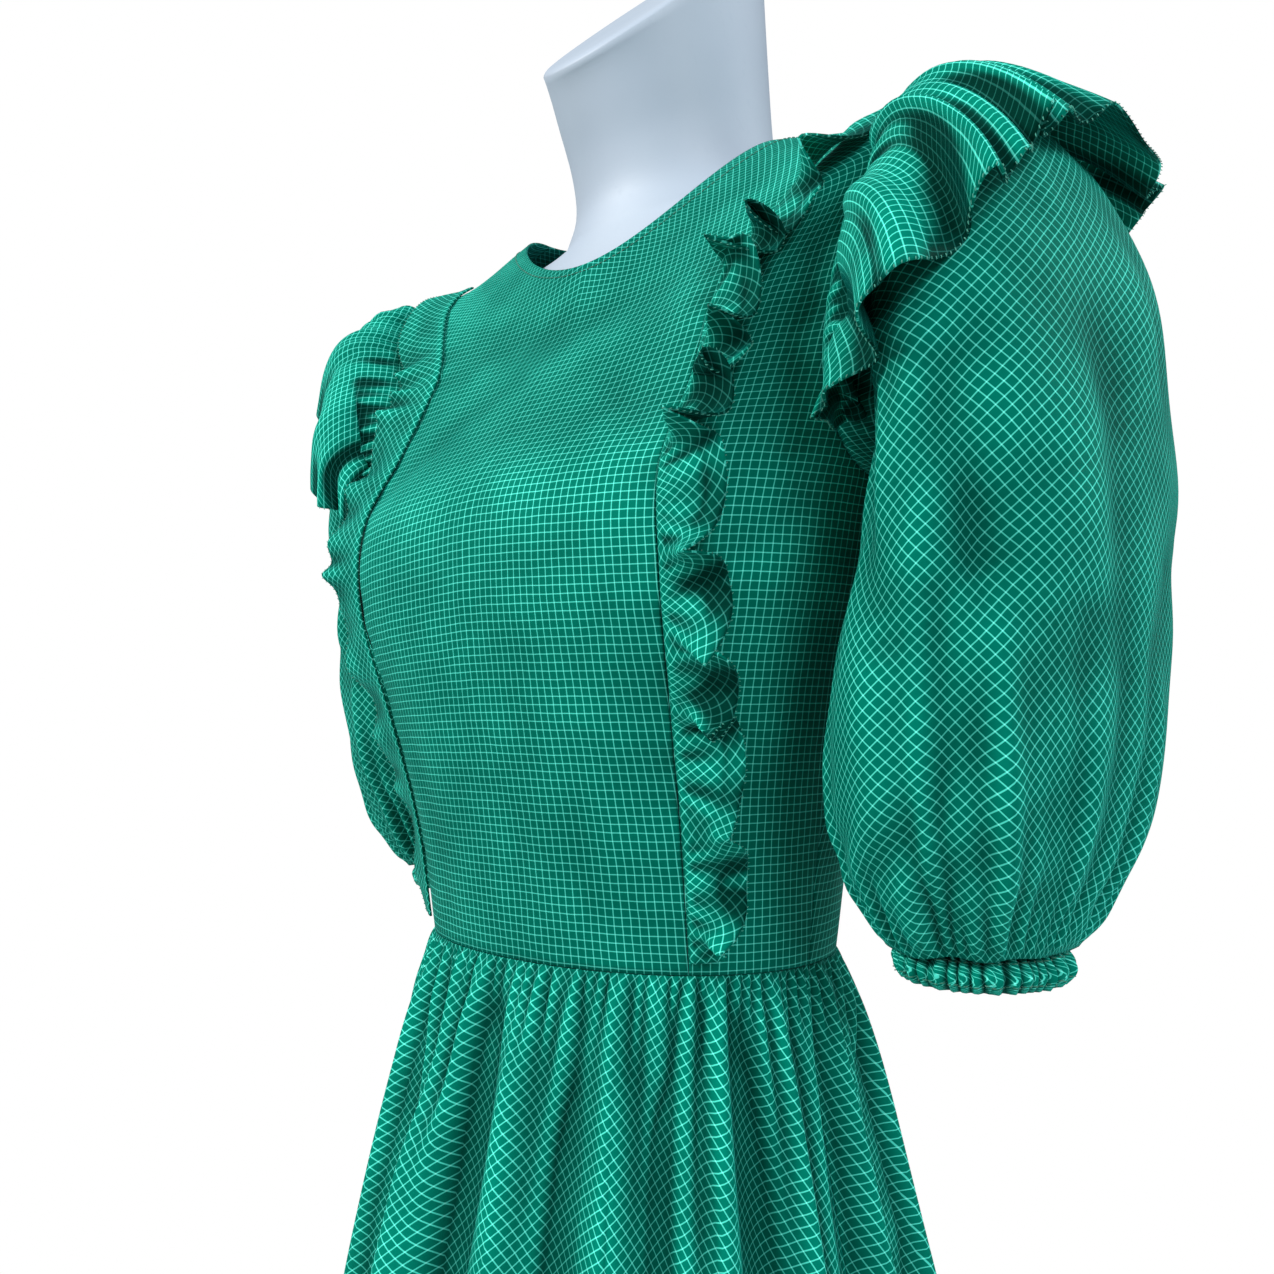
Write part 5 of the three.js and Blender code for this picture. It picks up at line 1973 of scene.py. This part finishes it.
@dataclass
class Studio:
    """Pale floor, soft lights and the camera.

    Attributes:
        eye: Camera's place, metres.
        azimuth: Its turn round the dress, degrees.
        tilt: Degrees that it looks up.
        roll: Its roll, degrees.
        focal: Focal length in pixels of the photo.
        image: Side of the photo, pixels.
        centre: Pixel on the optical axis.
        floor_radius: Radius of the floor, metres.
    """

    eye: tuple[float, float, float] = (0.401, -0.437, 1.159)
    azimuth: float = 43.6
    tilt: float = 4.0
    roll: float = -0.3
    focal: float = 1125.0
    image: float = 1274.0
    centre: tuple[float, float] = (600.0, 644.0)
    floor_radius: float = 1.6

    def camera(self) -> None:
        """Makes the camera at the photo's viewing angle."""
        data = bpy.data.cameras.new("Camera")
        data.sensor_width = 36.0
        data.lens = 36.0 * self.focal / self.image
        data.shift_x = (self.image / 2 - self.centre[0]) / self.image
        data.shift_y = (self.centre[1] - self.image / 2) / self.image
        data.clip_start = 0.02
        data.clip_end = 200
        camera = linked("Camera", data)
        a, e = self.azimuth * DEG, self.tilt * DEG
        look = Vector((-math.sin(a) * math.cos(e), math.cos(a) * math.cos(e), math.sin(e)))
        turn = look.to_track_quat("-Z", "Y").to_matrix().to_4x4()
        turn = turn @ Matrix.Rotation(self.roll * DEG, 4, "Z")
        camera.matrix_world = Matrix.Translation(self.eye) @ turn
        bpy.context.scene.camera = camera

    def light(
        self,
        name: str,
        at: tuple[float, float, float],
        aim: tuple[float, float, float],
        size: float,
        power: float,
        colour: tuple[float, float, float],
    ) -> None:
        """Adds one soft square light.

        Args:
            name: Name of the light.
            at: Its place, metres.
            aim: Point that it faces.
            size: Side of the square, metres.
            power: Watts.
            colour: Colour of the light.
        """
        data = bpy.data.lights.new(name, "AREA")
        data.size = size
        data.energy = power
        data.color = colour
        lamp = linked(name, data)
        lamp.location = at
        lamp.rotation_mode = "QUATERNION"
        lamp.rotation_quaternion = (Vector(aim) - Vector(at)).to_track_quat("-Z", "Y")

    def world(self) -> None:
        """Makes the sky, white to the camera and dimmer to the dress."""
        world = bpy.data.worlds.new("Studio")
        world.use_nodes = True
        n = Nodes(world.node_tree)
        seen = n.add("ShaderNodeBackground", {"Color": (1, 1, 1, 1), "Strength": 1.0})
        dim = n.add("ShaderNodeBackground", {"Color": (0.92, 0.97, 1.0, 1), "Strength": 0.27})
        rays = n.add("ShaderNodeLightPath")
        both = n.add("ShaderNodeMixShader", {0: rays.outputs["Is Camera Ray"]})
        n.link(dim.outputs[0], both.inputs[1])
        n.link(seen.outputs[0], both.inputs[2])
        n.link(both.outputs[0], n.add("ShaderNodeOutputWorld").inputs[0])
        bpy.context.scene.world = world
        bpy.context.scene.view_settings.view_transform = "Standard"
        bpy.context.scene.view_settings.look = "None"

    def floor(self) -> None:
        """Makes the round pale floor."""
        mesh = bpy.data.meshes.new("Floor")
        turn = [i * math.pi / 48 for i in range(96)]
        rim = [(self.floor_radius * math.cos(t), self.floor_radius * math.sin(t), 0) for t in turn]
        mesh.from_pydata(rim, [], [tuple(range(96))])
        pale, n = new_material("Pale floor")
        n.surface({"Base Color": (0.9, 0.9, 0.9, 1), "Roughness": 0.9})
        mesh.materials.append(pale)
        linked("Floor", mesh)

    def build(self) -> None:
        """Makes camera, sky, floor and lights."""
        self.camera()
        self.world()
        self.floor()
        self.light("Key", (-1.3, -2.5, 2.9), (0, 0, 1.25), 0.9, 112, (1.0, 0.99, 0.96))
        self.light("Fill", (2.6, -1.3, 2.5), (0.1, 0, 1.2), 1.2, 66, (0.93, 0.97, 1.0))
        self.light("Back", (2.2, 2.0, 2.6), (0, 0, 1.2), 1.6, 34, (0.95, 0.98, 1.0))


def main() -> None:
    """Builds the dress, its form and stand, and the studio."""
    logging.basicConfig(level=logging.INFO, format="%(name)s: %(message)s")
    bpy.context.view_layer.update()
    finishes = Finishes()
    torso = Torso()
    bodice = Bodice(torso)
    sheets: dict[str, Sheet] = {}

    def lay(sheet: Sheet, node: str) -> None:
        """Makes one piece of cloth."""
        sheets[sheet.name] = sheet
        obj = place(sheet.build(), finishes.cotton, "check_cotton", [node])

    form = place(DressForm(torso).build(), finishes.form, "form_shell", ["form_torso"])
    Stand().build(finishes)
    for sheet, node in bodice.sheets():
        lay(sheet, node)
    for side in Side:
        word = side.name.lower()
        sleeve = Sleeve(bodice, side)
        for sheet, node, rests_on in (
            (FrontRuffle(bodice, side).sheet(), "front_ruffle", "side_front_cloth"),
            (sleeve.body(), "sleeve", "back_cloth"),
            (sleeve.casing(), "cuff", "sleeve_cloth"),
            (HeadRuffle(sleeve).sheet(), "sleeve_head_ruffle", "sleeve_cloth"),
        ):
            lay(sheet, f"{node}_{word}")
    for sheet, node in Skirt().sheets():
        lay(sheet, node)
    Sewing(finishes).build(sheets)
    Zip(bodice).build(finishes)
    Studio().build()


if __name__ == "__main__":
    main()
